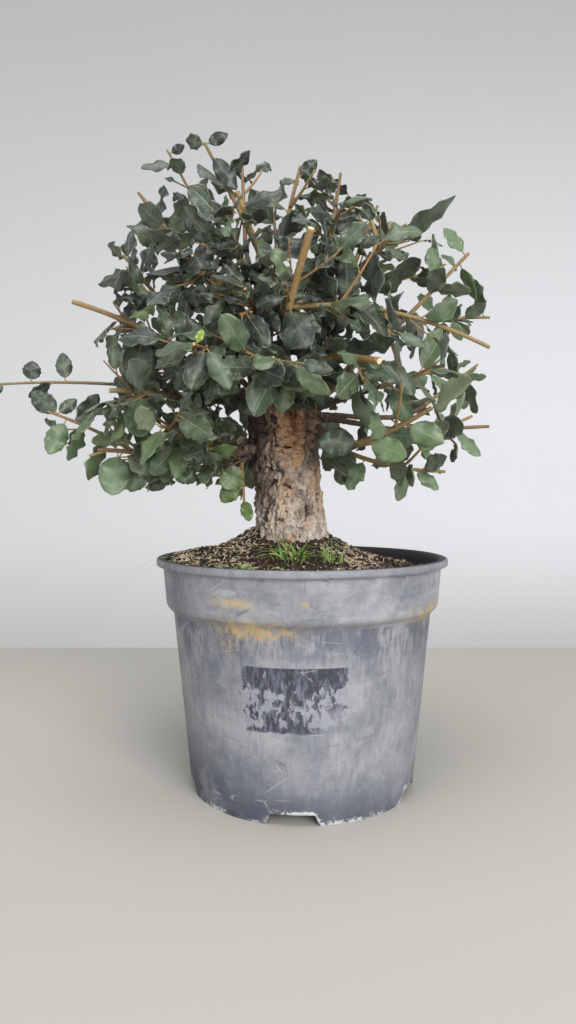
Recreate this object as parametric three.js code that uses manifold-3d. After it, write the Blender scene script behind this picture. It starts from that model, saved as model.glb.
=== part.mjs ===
// A cork oak bonsai in a round nursery pot: trunk with cut branches, leafy sprays, soil and grass.
// Millimetres, +Z up. Sizes are laid out from the pot's axis at the floor, and the finished
// group is moved so that the middle of its footprint on the floor is the origin.
import * as THREE from 'three';
import { mergeVertices } from 'three/addons/utils/BufferGeometryUtils.js';
import Module from 'manifold-3d';

const wasm = await Module();
wasm.setup();

// Driving dimensions of the pot.
const POT_HEIGHT = 175;
const RIM_RADIUS = 112.5;
const FOOT_RADIUS = 86.5;
const POT_WALL = 2;
const LIP_HEIGHT = 5.5;
const LIP_WIDTH = 5;
const BAND_HEIGHT = 30;
const STEP_WIDTH = 5.4;
const STEP_HEIGHT = 5;
const FLOOR_PLATE = { bottom: 8.4, top: 10.6 };
const NOTCH = { count: 5, firstDegrees: -95.2, width: 38, topWidth: 29, height: 8 };
const DRAIN = { radius: 6, circle: 58 };
const POT_SEGMENTS = 36;

// Driving dimensions of the soil and of what stands in it.
const GAP = 0.35;
const SLIVER = 0.15;
const SOIL = { level: 165.5, tilt: 0.05, mound: 31, spread: 36, back: 12, relief: 1.1 };
const ROOT = { radius: 26, bottom: 150 };
const TRUNK_X = -9;
const TRUNK_SIDES = 20;
const FREE_Z = 201;
const CHOP = { low: 244, high: 297, front: -25, back: 12 };

// The leader that took over behind the chop, as a curve, and where branches leave it and the trunk.
const LEADER = { from: [-19, 5, 226], low: [-36, 4, 268], high: [-36, 5, 322], to: [-27, 6, 368], radii: [13, 6] };
const LEADER_HUBS = { low: 0.24, leader: 0.5, crotch: 0.74, crown: 0.97 };
const TRUNK_HUBS = { shoulder: [0, 6, 283], rear: [-14, 16, 284] };

// Leaves and twigs.
const CROWN_CENTRE = new THREE.Vector3(-15, 0, 345);
const PETIOLE = 0.14;
const BLADE_HALF_THICKNESS = 0.42;
const TURN = THREE.MathUtils.degToRad(137.5);
const TRIES = 14;
const CLEAR = { otherNode: 4.6, sameNode: 3.6, twig: 2.2 };
const SMALL_LEAF = 29;

// The crown's outline as seen from in front, on the upright plane through the pot's axis: x and z.
const EYE = new THREE.Vector3(-10.9, -547, 223);
const CROWN_OUTLINE = [
  [-149, 224], [-171, 231], [-196, 259], [-213, 293], [-150, 299], [-148, 320], [-166, 336], [-162, 358],
  [-146, 378], [-158, 388], [-138, 406], [-148, 416], [-137, 440], [-124, 466], [-124, 483], [-104, 495],
  [-88, 506], [-62, 506], [-36, 489], [-14, 470], [-3, 481], [14, 479], [33, 467], [49, 460], [65, 445],
  [100, 435], [117, 431], [130, 415], [132, 398], [145, 376], [144, 360], [130, 338], [141, 317],
  [138, 291], [132, 268], [142, 256], [118, 242], [104, 230], [74, 220], [35, 227], [19, 237], [13, 250],
  [9, 286], [-34, 286], [-36, 254], [-36, 206], [-44, 206], [-54, 219], [-66, 223], [-96, 230], [-123, 223],
];

const colour = (r, g, b, roughness) =>
  new THREE.MeshStandardMaterial({ color: new THREE.Color(r, g, b), roughness, metalness: 0 });
const MATERIAL = {
  pot: colour(0.34, 0.35, 0.39, 0.6),
  soil: colour(0.16, 0.12, 0.09, 0.95),
  bark: colour(0.36, 0.28, 0.22, 0.95),
  leaf: colour(0.13, 0.22, 0.12, 0.5),
  grass: colour(0.25, 0.45, 0.08, 0.6),
};

// Draws the same numbers from the same seed.
function makeRandom(seed) {
  let state = seed >>> 0;
  return () => {
    state = (Math.imul(state, 1664525) + 1013904223) >>> 0;
    return (state >>> 4) / 268435456;
  };
}

const vector = (p) => new THREE.Vector3(...p);

// A closed mesh as a solid that can be cut and joined.
function solid(geometry) {
  const bare = geometry.index ? geometry.toNonIndexed() : geometry.clone();
  bare.deleteAttribute('normal');
  bare.deleteAttribute('uv');
  const merged = mergeVertices(bare, 1e-4);
  return new wasm.Manifold(new wasm.Mesh({
    numProp: 3,
    vertProperties: merged.attributes.position.array,
    triVerts: new Uint32Array(merged.index.array),
  }));
}

function meshOf(name, shape, material) {
  const made = shape.getMesh();
  const geometry = new THREE.BufferGeometry();
  geometry.setAttribute('position', new THREE.BufferAttribute(made.vertProperties, 3));
  geometry.setIndex(new THREE.BufferAttribute(made.triVerts, 1));
  geometry.computeVertexNormals();
  const mesh = new THREE.Mesh(geometry, material);
  mesh.name = name;
  return mesh;
}

// Shapes fused into one, without the slivers that a seam leaves.
const joined = (shapes) => shapes.reduce((a, b) => a.add(b)).asOriginal().simplify(SLIVER);

// A geometry from points and triangles.
function facets(points, faces) {
  const geometry = new THREE.BufferGeometry();
  geometry.setAttribute('position', new THREE.Float32BufferAttribute(points.flatMap((p) => [p.x, p.y, p.z]), 3));
  geometry.setIndex(faces.flat());
  return geometry;
}

// Rings of equal count, joined into one closed skin. A ring runs counter-clockwise seen from the last one.
function loft(rings) {
  const n = rings[0].length;
  const points = rings.flat();
  const faces = [];
  for (let r = 0; r + 1 < rings.length; r++) {
    for (let i = 0; i < n; i++) {
      const a = r * n + i;
      const b = r * n + ((i + 1) % n);
      faces.push([a, b, b + n], [a, b + n, a + n]);
    }
  }
  const last = (rings.length - 1) * n;
  for (let i = 1; i + 1 < n; i++) faces.push([0, i + 1, i], [last, last + i, last + i + 1]);
  return facets(points, faces);
}

// A tapered tube along a curve, with flat ends.
function tube(curve, radiusStart, radiusEnd, sides, steps) {
  const start = curve.getTangent(0);
  const reference = Math.abs(start.z) < 0.85 ? new THREE.Vector3(0, 0, 1) : new THREE.Vector3(1, 0, 0);
  const rings = [];
  for (let k = 0; k <= steps; k++) {
    const t = k / steps;
    const along = curve.getTangent(t);
    const u = new THREE.Vector3().crossVectors(reference, along).normalize();
    const w = new THREE.Vector3().crossVectors(along, u);
    const radius = radiusStart + (radiusEnd - radiusStart) * t;
    const ring = [];
    for (let i = 0; i < sides; i++) {
      const angle = (2 * Math.PI * i) / sides;
      ring.push(curve.getPoint(t)
        .addScaledVector(u, radius * Math.cos(angle))
        .addScaledVector(w, radius * Math.sin(angle)));
    }
    rings.push(ring);
  }
  return solid(loft(rings));
}

// The pot: one thin lathe turned about its axis, with notches in its foot and holes in its floor plate.
const bandBottom = POT_HEIGHT - LIP_HEIGHT - BAND_HEIGHT;
const bodyTop = bandBottom - STEP_HEIGHT;
const bandRadiusTop = RIM_RADIUS - LIP_WIDTH;
const bandRadiusBottom = bandRadiusTop - 2.6;
const bodyRadiusTop = bandRadiusBottom - STEP_WIDTH;
const bodyRadius = (z) => FOOT_RADIUS + ((bodyRadiusTop - FOOT_RADIUS) * z) / bodyTop;

function pot() {
  const outline = [
    [0, FLOOR_PLATE.bottom],
    [bodyRadius(FLOOR_PLATE.bottom) - POT_WALL, FLOOR_PLATE.bottom],
    [FOOT_RADIUS - POT_WALL, 0],
    [FOOT_RADIUS, 0],
    [bodyRadiusTop, bodyTop],
    [bandRadiusBottom - 1, bandBottom - 1],
    [bandRadiusBottom, bandBottom + 1],
    [bandRadiusTop, POT_HEIGHT - LIP_HEIGHT],
    [RIM_RADIUS - 0.6, POT_HEIGHT - LIP_HEIGHT],
    [RIM_RADIUS, POT_HEIGHT - 1.5],
    [RIM_RADIUS - 1.6, POT_HEIGHT],
    [bandRadiusTop - POT_WALL + 1, POT_HEIGHT],
    [bandRadiusBottom - POT_WALL, bandBottom + 2],
    [bodyRadiusTop - POT_WALL, bodyTop + 2],
    [bodyRadius(FLOOR_PLATE.top) - POT_WALL, FLOOR_PLATE.top],
    [0, FLOOR_PLATE.top],
  ];
  const profile = outline.map(([r, z]) => new THREE.Vector2(r, z));
  let shape = solid(new THREE.LatheGeometry(profile, POT_SEGMENTS).rotateX(Math.PI / 2));
  for (let k = 0; k < NOTCH.count; k++) {
    const angle = THREE.MathUtils.degToRad(NOTCH.firstDegrees + (360 * k) / NOTCH.count);
    shape = shape.subtract(notch(angle)).subtract(drain(angle));
  }
  return shape.asOriginal().simplify(SLIVER);
}

// The cutter for one notch: a trapezoid, wider at the floor, through the skirt below the floor plate.
function notch(angle) {
  const outline = new THREE.Shape([
    new THREE.Vector2(-NOTCH.width / 2, -1),
    new THREE.Vector2(NOTCH.width / 2, -1),
    new THREE.Vector2(NOTCH.topWidth / 2, NOTCH.height),
    new THREE.Vector2(-NOTCH.topWidth / 2, NOTCH.height),
  ]);
  const reach = 30;
  return solid(new THREE.ExtrudeGeometry(outline, { depth: reach, bevelEnabled: false })
    .rotateX(Math.PI / 2)
    .rotateZ(Math.PI / 2)
    .translate(FOOT_RADIUS - reach / 2, 0, 0)
    .rotateZ(angle));
}

// The cutter for one drain hole, next to a notch.
function drain(angle) {
  return solid(new THREE.CylinderGeometry(DRAIN.radius, DRAIN.radius, 8, 10)
    .rotateX(Math.PI / 2)
    .translate(DRAIN.circle * Math.cos(angle), DRAIN.circle * Math.sin(angle), FLOOR_PLATE.bottom));
}

// Height of the soil: a slope, a mound round the trunk and a little relief.
function soilHeight(x, y) {
  const far = Math.max(Math.hypot(x - TRUNK_X, y - SOIL.back) - ROOT.radius, 0);
  const relief = Math.sin(x * 0.21 + 1.3 * Math.sin(y * 0.13)) * Math.cos(y * 0.19 + 0.7);
  return SOIL.level - SOIL.tilt * x + SOIL.mound * Math.exp(-far / SOIL.spread) + SOIL.relief * relief;
}

// The soil: it fills the pot up to its wall, with plain blind holes for the trunk and the grass.
function soil() {
  const circle = (radius, z) => Array.from({ length: POT_SEGMENTS }, (_, i) => {
    const angle = (2 * Math.PI * i) / POT_SEGMENTS;
    const x = radius * Math.cos(angle);
    const y = radius * Math.sin(angle);
    return new THREE.Vector3(x, y, z === undefined ? soilHeight(x, y) : z);
  });
  const inside = POT_WALL + GAP + 0.3;
  const rings = [
    circle(bodyRadius(FLOOR_PLATE.top) - inside, FLOOR_PLATE.top + GAP),
    circle(bodyRadiusTop - inside, bodyTop + 2),
    circle(bandRadiusBottom - inside, bandBottom + 2.4),
    circle(bandRadiusBottom - inside + 1.5),
    ...[86, 66, 46].map((radius) => circle(radius)),
  ];
  let shape = solid(loft(rings)).subtract(hole(TRUNK_X, 0, ROOT.radius, ROOT.bottom, TRUNK_SIDES));
  for (const tuft of TUFTS) {
    const bottom = soilHeight(tuft.x, tuft.y) - TUFT_DEPTH;
    shape = shape.subtract(hole(tuft.x, tuft.y, tuft.root, bottom, 6));
  }
  return shape.asOriginal().simplify(SLIVER);
}

// The cutter for a blind hole, a gap wider and deeper than what stands in it.
function hole(x, y, radius, bottom, sides) {
  const height = 60;
  return solid(new THREE.CylinderGeometry(radius + GAP, radius + GAP, height, sides)
    .rotateX(Math.PI / 2)
    .translate(x, y, bottom - GAP + height / 2));
}

// Grass that has seeded itself in the soil: a short root plug with blades fanned out of it.
const TUFT_DEPTH = 9;
const TUFTS = [
  { name: 'grass_front', x: -9, y: -52, root: 4, blades: 8, tall: 19, spread: 0.9, seed: 3 },
  { name: 'grass_right', x: 19, y: -48, root: 2.5, blades: 5, tall: 19, spread: 0.35, seed: 8 },
];

function grass(tuft) {
  const random = makeRandom(tuft.seed);
  const ground = soilHeight(tuft.x, tuft.y);
  const shapes = [solid(new THREE.CylinderGeometry(tuft.root, tuft.root, TUFT_DEPTH, 6)
    .rotateX(Math.PI / 2)
    .translate(tuft.x, tuft.y, ground + 1.5 - TUFT_DEPTH / 2))];
  for (let k = 0; k < tuft.blades; k++) {
    const angle = TURN * k;
    const lean = tuft.spread * (0.3 + 0.7 * random());
    const tall = tuft.tall * (0.6 + 0.5 * random());
    const foot = new THREE.Vector3(
      tuft.x + tuft.root * 0.5 * Math.cos(angle), tuft.y + tuft.root * 0.5 * Math.sin(angle), ground + 0.6);
    const bend = foot.clone().add(new THREE.Vector3(
      tall * 0.35 * lean * Math.cos(angle), tall * 0.35 * lean * Math.sin(angle), tall * 0.6));
    const tip = foot.clone().add(new THREE.Vector3(
      tall * 1.1 * lean * Math.cos(angle), tall * 1.1 * lean * Math.sin(angle), tall * (1.1 - 0.4 * lean)));
    shapes.push(tube(new THREE.QuadraticBezierCurve3(foot, bend, tip), 0.9, 0.45, 3, 2));
  }
  return joined(shapes);
}

// The trunk's centre line and radius. It leans a little, and its ridges grow out above the soil.
function trunkAt(z) {
  const up = (z - ROOT.bottom) / (CHOP.high - ROOT.bottom);
  return { x: TRUNK_X - 8 * Math.max(up - 0.3, 0), y: 0, radius: ROOT.radius - 2.6 * up };
}

function trunkRing(z) {
  const { x, y, radius } = trunkAt(z);
  const free = THREE.MathUtils.smoothstep(z, FREE_Z, FREE_Z + 12);
  return Array.from({ length: TRUNK_SIDES }, (_, i) => {
    const angle = (2 * Math.PI * i) / TRUNK_SIDES;
    const ridge = Math.cos(angle * 7 + 1.6 * Math.sin(z * 0.09)) + 0.5 * Math.sin(angle * 3 + z * 0.07);
    const r = radius + free * 1.3 * ridge;
    return new THREE.Vector3(x + r * Math.cos(angle), y + r * Math.sin(angle), z);
  });
}

// The trunk, chopped to a slanting face in front, with the leader that took over behind and the branches.
function trunk() {
  const levels = [ROOT.bottom, FREE_Z];
  for (let z = 213; z < CHOP.high + 12; z += 13) levels.push(z);
  const cutter = new THREE.BoxGeometry(120, 120, 80)
    .translate(0, 0, 40)
    .rotateX(Math.atan2(CHOP.high - CHOP.low, CHOP.back - CHOP.front))
    .translate(0, CHOP.front, CHOP.low);
  let shape = solid(loft(levels.map(trunkRing))).subtract(solid(cutter));
  shape = shape.add(tube(leaderCurve, LEADER.radii[0], LEADER.radii[1], 8, 6));
  for (const branch of BRANCHES) {
    if (branch.hub) shape = shape.add(limb(branch));
  }
  return shape.asOriginal().simplify(SLIVER);
}

// The branches: where the twig of each leafy spray starts and ends. hub names the place on the trunk that
// its bare limb grows from. stub is the leafless share at a cut end. known lists the leaves that show
// against the background: place along the twig, tip, and breadth as seen from the front.
const BRANCHES = [
  { name: 'left_shoot', hub: 'leader', from: [-145, -15, 307], to: [-243, -25, 304], bow: 2, r: [1.3, 0.8],
    leaves: 2, twigs: 0, size: 24, known: [
      [0.61, [-202, -24, 323], 13], [0.35, [-181, -20, 331], 12], [0.44, [-201, -32, 294], 8],
      [0.8, [-233, -28, 297], 7]] },
  { name: 'left_low', hub: 'low', from: [-128, -28, 256], to: [-182, -50, 282], bow: 2, r: [1.6, 0.9],
    leaves: 1, twigs: 0, size: 28, known: [
      [0.86, [-194, -52, 297], 15], [0.9, [-163, -42, 292], 9], [0.68, [-146, -46, 294], 11],
      [0.78, [-179, -58, 252], 15], [0.55, [-167, -46, 246], 9], [0.3, [-153, -42, 232], 11]] },
  { name: 'left_stub', hub: 'leader', from: [-92, -66, 291], to: [-128, -90, 291], bow: 1, r: [2.2, 1.7],
    leaves: 4, twigs: 1, size: 38, stub: 0.3, known: [[0.62, [-108, -80, 330], 25], [0.5, [-107, -96, 262], 21]] },
  { name: 'low_left_stub', hub: 'low', from: [-98, -44, 250], to: [-143, -62, 254], bow: 1, r: [1.9, 1.5],
    leaves: 5, twigs: 1, size: 32, stub: 0.3, known: [[0.72, [-131, -72, 224], 22]] },
  { name: 'bare_left', hub: 'crotch', from: [-98, -40, 334], to: [-161, -60, 357], bow: 2, r: [2.1, 1.6],
    leaves: 5, twigs: 1, size: 30, stub: 0.45 },
  { name: 'left_up', hub: 'crotch', from: [-88, -57, 340], to: [-122, -75, 384], bow: 2, r: [1.8, 1],
    leaves: 4, twigs: 1, size: 31, known: [
      [0.96, [-138, -62, 394], 8], [0.8, [-144, -62, 370], 8], [0.9, [-122, -64, 408], 10]] },
  { name: 'upper_left', hub: 'crown', from: [-84, -20, 396], to: [-121, -30, 445], bow: 1, r: [1.7, 1.2],
    leaves: 5, twigs: 1, size: 30, stub: 0.35, known: [[0.4, [-130, -30, 424], 9]] },
  { name: 'thin_top_left', hub: 'crown', from: [-74, 2, 434], to: [-104, -5, 488], bow: 1, r: [1.3, 0.8],
    leaves: 6, twigs: 0, size: 20, known: [[0.8, [-124, -8, 475], 7], [0.95, [-90, -8, 490], 7]] },
  { name: 'top_green', hub: 'crown', from: [-30, -58, 389], to: [-66, -85, 454], bow: 2, r: [2.1, 1],
    leaves: 3, twigs: 0, size: 36, known: [
      [0.9, [-44, -84, 426], 12], [0.66, [-34, -84, 447], 8], [0.98, [-50, -88, 458], 8],
      [0.97, [-80, -80, 459], 9], [0.4, [-16, -80, 428], 10]] },
  { name: 'top_back', hub: 'crown', from: [-45, 15, 425], to: [-48, 15, 495], bow: 1, r: [1.9, 1.0],
    leaves: 6, twigs: 1, size: 26 },
  { name: 'top_mid', hub: 'crown', from: [-18, -40, 395], to: [-2, -50, 455], bow: 1, r: [1.7, 1.1],
    leaves: 6, twigs: 1, size: 29, known: [[0.85, [10, -54, 457], 10]] },
  { name: 'bold_stub', hub: 'shoulder', from: [-11, -90, 343], to: [3, -125, 383], bow: 1, r: [2.6, 2.3],
    leaves: 0, twigs: 0, size: 34, stub: 0.6, known: [[0.05, [-2, -130, 314], 25]] },
  { name: 'bold_stub', from: [-11, -91, 345], to: [118, -100, 317], bow: 10, r: [1.8, 1.2],
    leaves: 7, twigs: 2, size: 36, stub: 0.3, known: [
      [0.3, [27, -88, 381], 17], [0.27, [1, -82, 378], 12], [0.45, [37, -84, 384], 12]] },
  { name: 'top_right_stub', hub: 'shoulder', from: [46, -36, 392], to: [72, -60, 410], bow: 1, r: [2.3, 1.9],
    leaves: 4, twigs: 1, size: 30, stub: 0.4, known: [[0.6, [107, -70, 418], 11]] },
  { name: 'top_right', hub: 'crown', from: [21, -10, 412], to: [29, -15, 466], bow: 1, r: [2, 1.1],
    leaves: 7, twigs: 1, size: 28 },
  { name: 'top_far_right', hub: 'rear', from: [44, 22, 412], to: [62, 25, 458], bow: 1, r: [2, 1.1],
    leaves: 6, twigs: 1, size: 28 },
  { name: 'right_up', hub: 'shoulder', from: [79, -28, 356], to: [121, -35, 399], bow: 0, r: [1.7, 1.2],
    leaves: 5, twigs: 1, size: 29, stub: 0.2, known: [
      [0.95, [104, -36, 419], 9], [0.5, [95, -32, 406], 10], [0.85, [126, -28, 366], 8]] },
  { name: 'right_mid', hub: 'shoulder', from: [88, 12, 358], to: [151, 15, 365], bow: 2, r: [1.6, 1.1],
    leaves: 5, twigs: 1, size: 26, stub: 0.3, known: [[0.93, [133, 12, 394], 9], [0.5, [128, 12, 346], 9]] },
  { name: 'right_fore', hub: 'shoulder', from: [52, -68, 297], to: [93, -85, 306], bow: 1, r: [1.7, 1.2],
    leaves: 6, twigs: 1, size: 33, stub: 0.25 },
  { name: 'fore_stub', hub: 'shoulder', from: [5, -56, 318], to: [46, -112, 306], bow: 2, r: [2.8, 2.3],
    leaves: 4, twigs: 0, size: 38, stub: 0.2, known: [[0.42, [56, -108, 318], 14]] },
  { name: 'low_right', hub: 'shoulder', from: [38, -58, 259], to: [82, -96, 279], bow: -2, r: [2.2, 1.5],
    leaves: 4, twigs: 1, size: 36, known: [
      [0.05, [11, -68, 259], 20], [0.12, [68, -78, 249], 18], [0.3, [31, -72, 293], 13]] },
  { name: 'low_right_out', hub: 'shoulder', from: [84, -38, 270], to: [134, -45, 272], bow: 0, r: [1.7, 1.2],
    leaves: 5, twigs: 1, size: 28, stub: 0.3, known: [[0.5, [130, -45, 252], 8]] },
  { name: 'right_thin', hub: 'rear', from: [98, 10, 294], to: [141, 12, 327], bow: 0, r: [1.7, 0.9],
    leaves: 3, twigs: 1, size: 21, known: [
      [0.75, [134, 2, 286], 8], [0.7, [147, 8, 315], 6], [0.6, [117, 10, 337], 9]] },
  { name: 'low_right_hang', hub: 'shoulder', from: [40, -16, 253], to: [106, -30, 240], bow: -3, r: [1.9, 1.1],
    leaves: 5, twigs: 1, size: 28, known: [
      [0.6, [72, -32, 218], 9], [0.66, [101, -34, 228], 9], [0.12, [33, -30, 228], 12]] },
  { name: 'fore_mid', hub: 'leader', from: [-16, -58, 303], to: [-20, -122, 306], bow: 4, r: [1.9, 1.1],
    leaves: 7, twigs: 1, size: 38 },
  { name: 'fore_left', hub: 'leader', from: [-46, -54, 306], to: [-68, -124, 314], bow: 3, r: [1.9, 1.1],
    leaves: 7, twigs: 1, size: 34 },
  { name: 'fore_low_left', hub: 'low', from: [-60, -38, 254], to: [-95, -95, 268], bow: 1, r: [1.9, 1.1],
    leaves: 7, twigs: 1, size: 36 },
  { name: 'fore_upper_left', hub: 'crotch', from: [-50, -56, 362], to: [-80, -92, 381], bow: 2, r: [1.9, 1.1],
    leaves: 6, twigs: 1, size: 33 },
  { name: 'mid_front', hub: 'crotch', from: [-30, -58, 338], to: [-38, -108, 352], bow: 2, r: [1.9, 1.1],
    leaves: 7, twigs: 1, size: 34 },
  { name: 'mid_high', hub: 'crown', from: [-40, -46, 374], to: [-52, -92, 402], bow: 2, r: [1.9, 1.1],
    leaves: 6, twigs: 1, size: 32 },
  { name: 'front_high', hub: 'crown', from: [6, -48, 378], to: [24, -88, 410], bow: 2, r: [1.9, 1.1],
    leaves: 6, twigs: 1, size: 32 },
  { name: 'under_left', hub: 'low', from: [-47, -4, 248], to: [-45, -7, 217], bow: 0, r: [1.6, 1.0],
    leaves: 0, twigs: 0, size: 28, known: [
      [0.05, [-60, -14, 228], 19], [0.45, [-64, -4, 217], 14], [0.9, [-40, -20, 204], 9],
      [0.3, [-52, 20, 236], 12]] },
  { name: 'far_low_left', hub: 'low', from: [-82, 32, 266], to: [-134, 56, 246], bow: 2, r: [2, 1.1],
    leaves: 7, twigs: 1, size: 32 },
  ...rearBranches(),
];

// The far side of the crown: three tiers and a top spread round the back.
function rearBranches() {
  const tiers = [
    { hub: 'rear', height: 262, lift: 4, reach: 118, degrees: [18, 66, 112] },
    { hub: 'leader', height: 318, lift: 12, reach: 136, degrees: [40, 94, 148] },
    { hub: 'crown', height: 372, lift: 34, reach: 112, degrees: [22, 80, 138] },
    { hub: 'crown', height: 420, lift: 44, reach: 62, degrees: [98] },
  ];
  return tiers.flatMap((tier, row) => tier.degrees.map((degrees, k) => {
    const angle = THREE.MathUtils.degToRad(degrees);
    const at = (reach, z) => [CROWN_CENTRE.x + reach * Math.cos(angle), reach * Math.sin(angle), z];
    return {
      name: `rear_${'abcd'[row]}${k + 1}`,
      hub: degrees < 55 && row < 2 ? 'shoulder' : tier.hub,
      from: at(tier.reach * 0.52, tier.height),
      to: at(tier.reach, tier.height + tier.lift),
      bow: 3,
      r: [2.2, 1.1],
      leaves: 5,
      twigs: 1,
      size: 35,
    };
  }));
}

// A main twig as a curve that bows up by a few millimetres in its middle.
function axisOf(branch) {
  const from = vector(branch.from);
  const to = vector(branch.to);
  const middle = from.clone().lerp(to, 0.5).add(new THREE.Vector3(0, 0, 2 * branch.bow));
  return new THREE.QuadraticBezierCurve3(from, middle, to);
}

const leaderCurve = new THREE.CubicBezierCurve3(
  vector(LEADER.from), vector(LEADER.low), vector(LEADER.high), vector(LEADER.to));
const hubOf = (hub) => (TRUNK_HUBS[hub] ? vector(TRUNK_HUBS[hub]) : leaderCurve.getPoint(LEADER_HUBS[hub]));

// A bare limb, from the trunk to the face where its spray starts.
function limbCurve(branch) {
  const axis = axisOf(branch);
  const heading = axis.getTangent(0);
  const from = hubOf(branch.hub);
  const to = axis.getPoint(0).addScaledVector(heading, -GAP);
  const reach = from.distanceTo(to);
  const leave = from.clone().lerp(to, 0.35).add(new THREE.Vector3(0, 0, 0.06 * reach));
  return new THREE.CubicBezierCurve3(from, leave, to.clone().addScaledVector(heading, -0.3 * reach), to);
}

function limb(branch) {
  const radius = branch.r[0];
  const curve = limbCurve(branch);
  return tube(curve, 1.5 * radius + 0.6, radius, radius < 2.1 ? 3 : 4, curve.getLength() < 75 ? 2 : 3);
}

// A list of everything that a new twig or leaf has to keep clear of.
const obstacles = [];

function blockCurve(curve, radiusStart, radiusEnd, owner) {
  const steps = Math.ceil(curve.getLength() / 4);
  for (let k = 0; k <= steps; k++) {
    const t = k / steps;
    obstacles.push({ at: curve.getPoint(t), radius: radiusStart + (radiusEnd - radiusStart) * t, owner });
  }
}

function twigIsClear(curve, radius, owner, own) {
  for (let k = 2; k <= 6; k++) {
    const p = curve.getPoint(k / 6);
    for (const o of obstacles) {
      if (o.owner === own && k < 4) continue;
      if (p.distanceTo(o.at) < radius + o.radius + (o.owner === own ? 1 : 3)) return false;
    }
    for (const leaf of placed) {
      for (const q of leaf.probes) if (p.distanceTo(q) < radius + 3) return false;
    }
  }
  return true;
}

// Two directions across a heading.
function across(heading) {
  const reference = Math.abs(heading.z) < 0.85 ? new THREE.Vector3(0, 0, 1) : new THREE.Vector3(1, 0, 0);
  const u = new THREE.Vector3().crossVectors(reference, heading).normalize();
  return [u, new THREE.Vector3().crossVectors(heading, u)];
}

// Whether a point falls inside the crown's outline as seen from in front.
function inOutline(p) {
  const scale = -EYE.y / (p.y - EYE.y);
  const x = EYE.x + (p.x - EYE.x) * scale;
  const z = EYE.z + (p.z - EYE.z) * scale;
  let inside = false;
  CROWN_OUTLINE.forEach(([x0, z0], i) => {
    const [x1, z1] = CROWN_OUTLINE[(i + 1) % CROWN_OUTLINE.length];
    if (z0 > z !== z1 > z && x < x0 + ((x1 - x0) * (z - z0)) / (z1 - z0)) inside = !inside;
  });
  return inside;
}

// Side twigs: they leave the main twig in a spiral, and one that would cross something is turned, then left out.
function sideTwigs(branch, axis, random) {
  const twigs = [];
  const leafy = 1 - (branch.stub || 0);
  for (let j = 0; j < branch.twigs; j++) {
    const t = leafy * (0.2 + (0.65 * (j + 0.5)) / branch.twigs);
    const heading = axis.getTangent(t);
    const [u, w] = across(heading);
    for (let attempt = 0; attempt < TRIES; attempt++) {
      const angle = TURN * j + 6.28 * random();
      const length = branch.size * (0.75 + 0.45 * random());
      const open = 0.75 + 0.4 * random();
      const way = heading.clone().multiplyScalar(Math.cos(open))
        .addScaledVector(u, Math.sin(open) * Math.cos(angle))
        .addScaledVector(w, Math.sin(open) * Math.sin(angle));
      const start = axis.getPoint(t);
      const middle = start.clone().addScaledVector(way, length * 0.5);
      const end = start.clone().addScaledVector(way, length).add(new THREE.Vector3(0, 0, 0.16 * length));
      const curve = new THREE.QuadraticBezierCurve3(start, middle, end);
      if (!inOutline(end) || !twigIsClear(curve, 1.2, branch.name, branch.name)) continue;
      blockCurve(curve, 1.2, 0.8, branch.name);
      twigs.push(curve);
      break;
    }
  }
  return twigs;
}

// Half the width of a blade along its midrib, as a share of the widest, with the stalk at its foot.
function halfWidth(t) {
  if (t <= PETIOLE) return 0.07;
  const along = (t - PETIOLE) / (1 - PETIOLE);
  return Math.max(Math.sin(Math.PI * along ** 0.85), 0) ** 0.8;
}

// A point on one face of a blade, or midway between its faces: t runs along the midrib, which curls down,
// and s across it from edge to edge.
function bladeSkin(leaf, t, s, face) {
  const bend = leaf.curl * t;
  const width = halfWidth(t) * leaf.width / 2;
  const normal = leaf.normal.clone().multiplyScalar(Math.cos(bend)).addScaledVector(leaf.way, Math.sin(bend));
  const wave = leaf.wave * halfWidth(t) * Math.sin(leaf.phase + 8.5 * t + 1.4 * s);
  return leaf.base.clone()
    .addScaledVector(leaf.way, (leaf.length * Math.sin(bend)) / leaf.curl)
    .addScaledVector(leaf.normal, (-leaf.length * (1 - Math.cos(bend))) / leaf.curl)
    .addScaledVector(leaf.side, s * width)
    .addScaledVector(normal, Math.abs(s) * (wave - leaf.fold * width) + face * BLADE_HALF_THICKNESS);
}

// Points spread over a blade, by which it is kept clear of its neighbours.
function probes(leaf) {
  const points = [];
  for (let i = 0; i < 8; i++) {
    for (let j = -3; j <= 3; j++) points.push(bladeSkin(leaf, 0.3 + i / 10, j / 3, 0));
  }
  return points;
}

const placed = [];

function leafIsClear(leaf, owner) {
  for (const p of leaf.probes) {
    if (!inOutline(p)) return false;
    for (const o of obstacles) {
      if (p.distanceTo(o.at) < o.radius + CLEAR.twig) return false;
    }
  }
  for (const other of placed) {
    const clear = other.owner === owner ? CLEAR.sameNode : CLEAR.otherNode;
    if (other.middle.distanceTo(leaf.middle) > (other.length + leaf.length) * 0.55 + clear) continue;
    for (const p of leaf.probes) {
      for (const q of other.probes) if (p.distanceTo(q) < clear) return false;
    }
  }
  return true;
}

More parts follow.
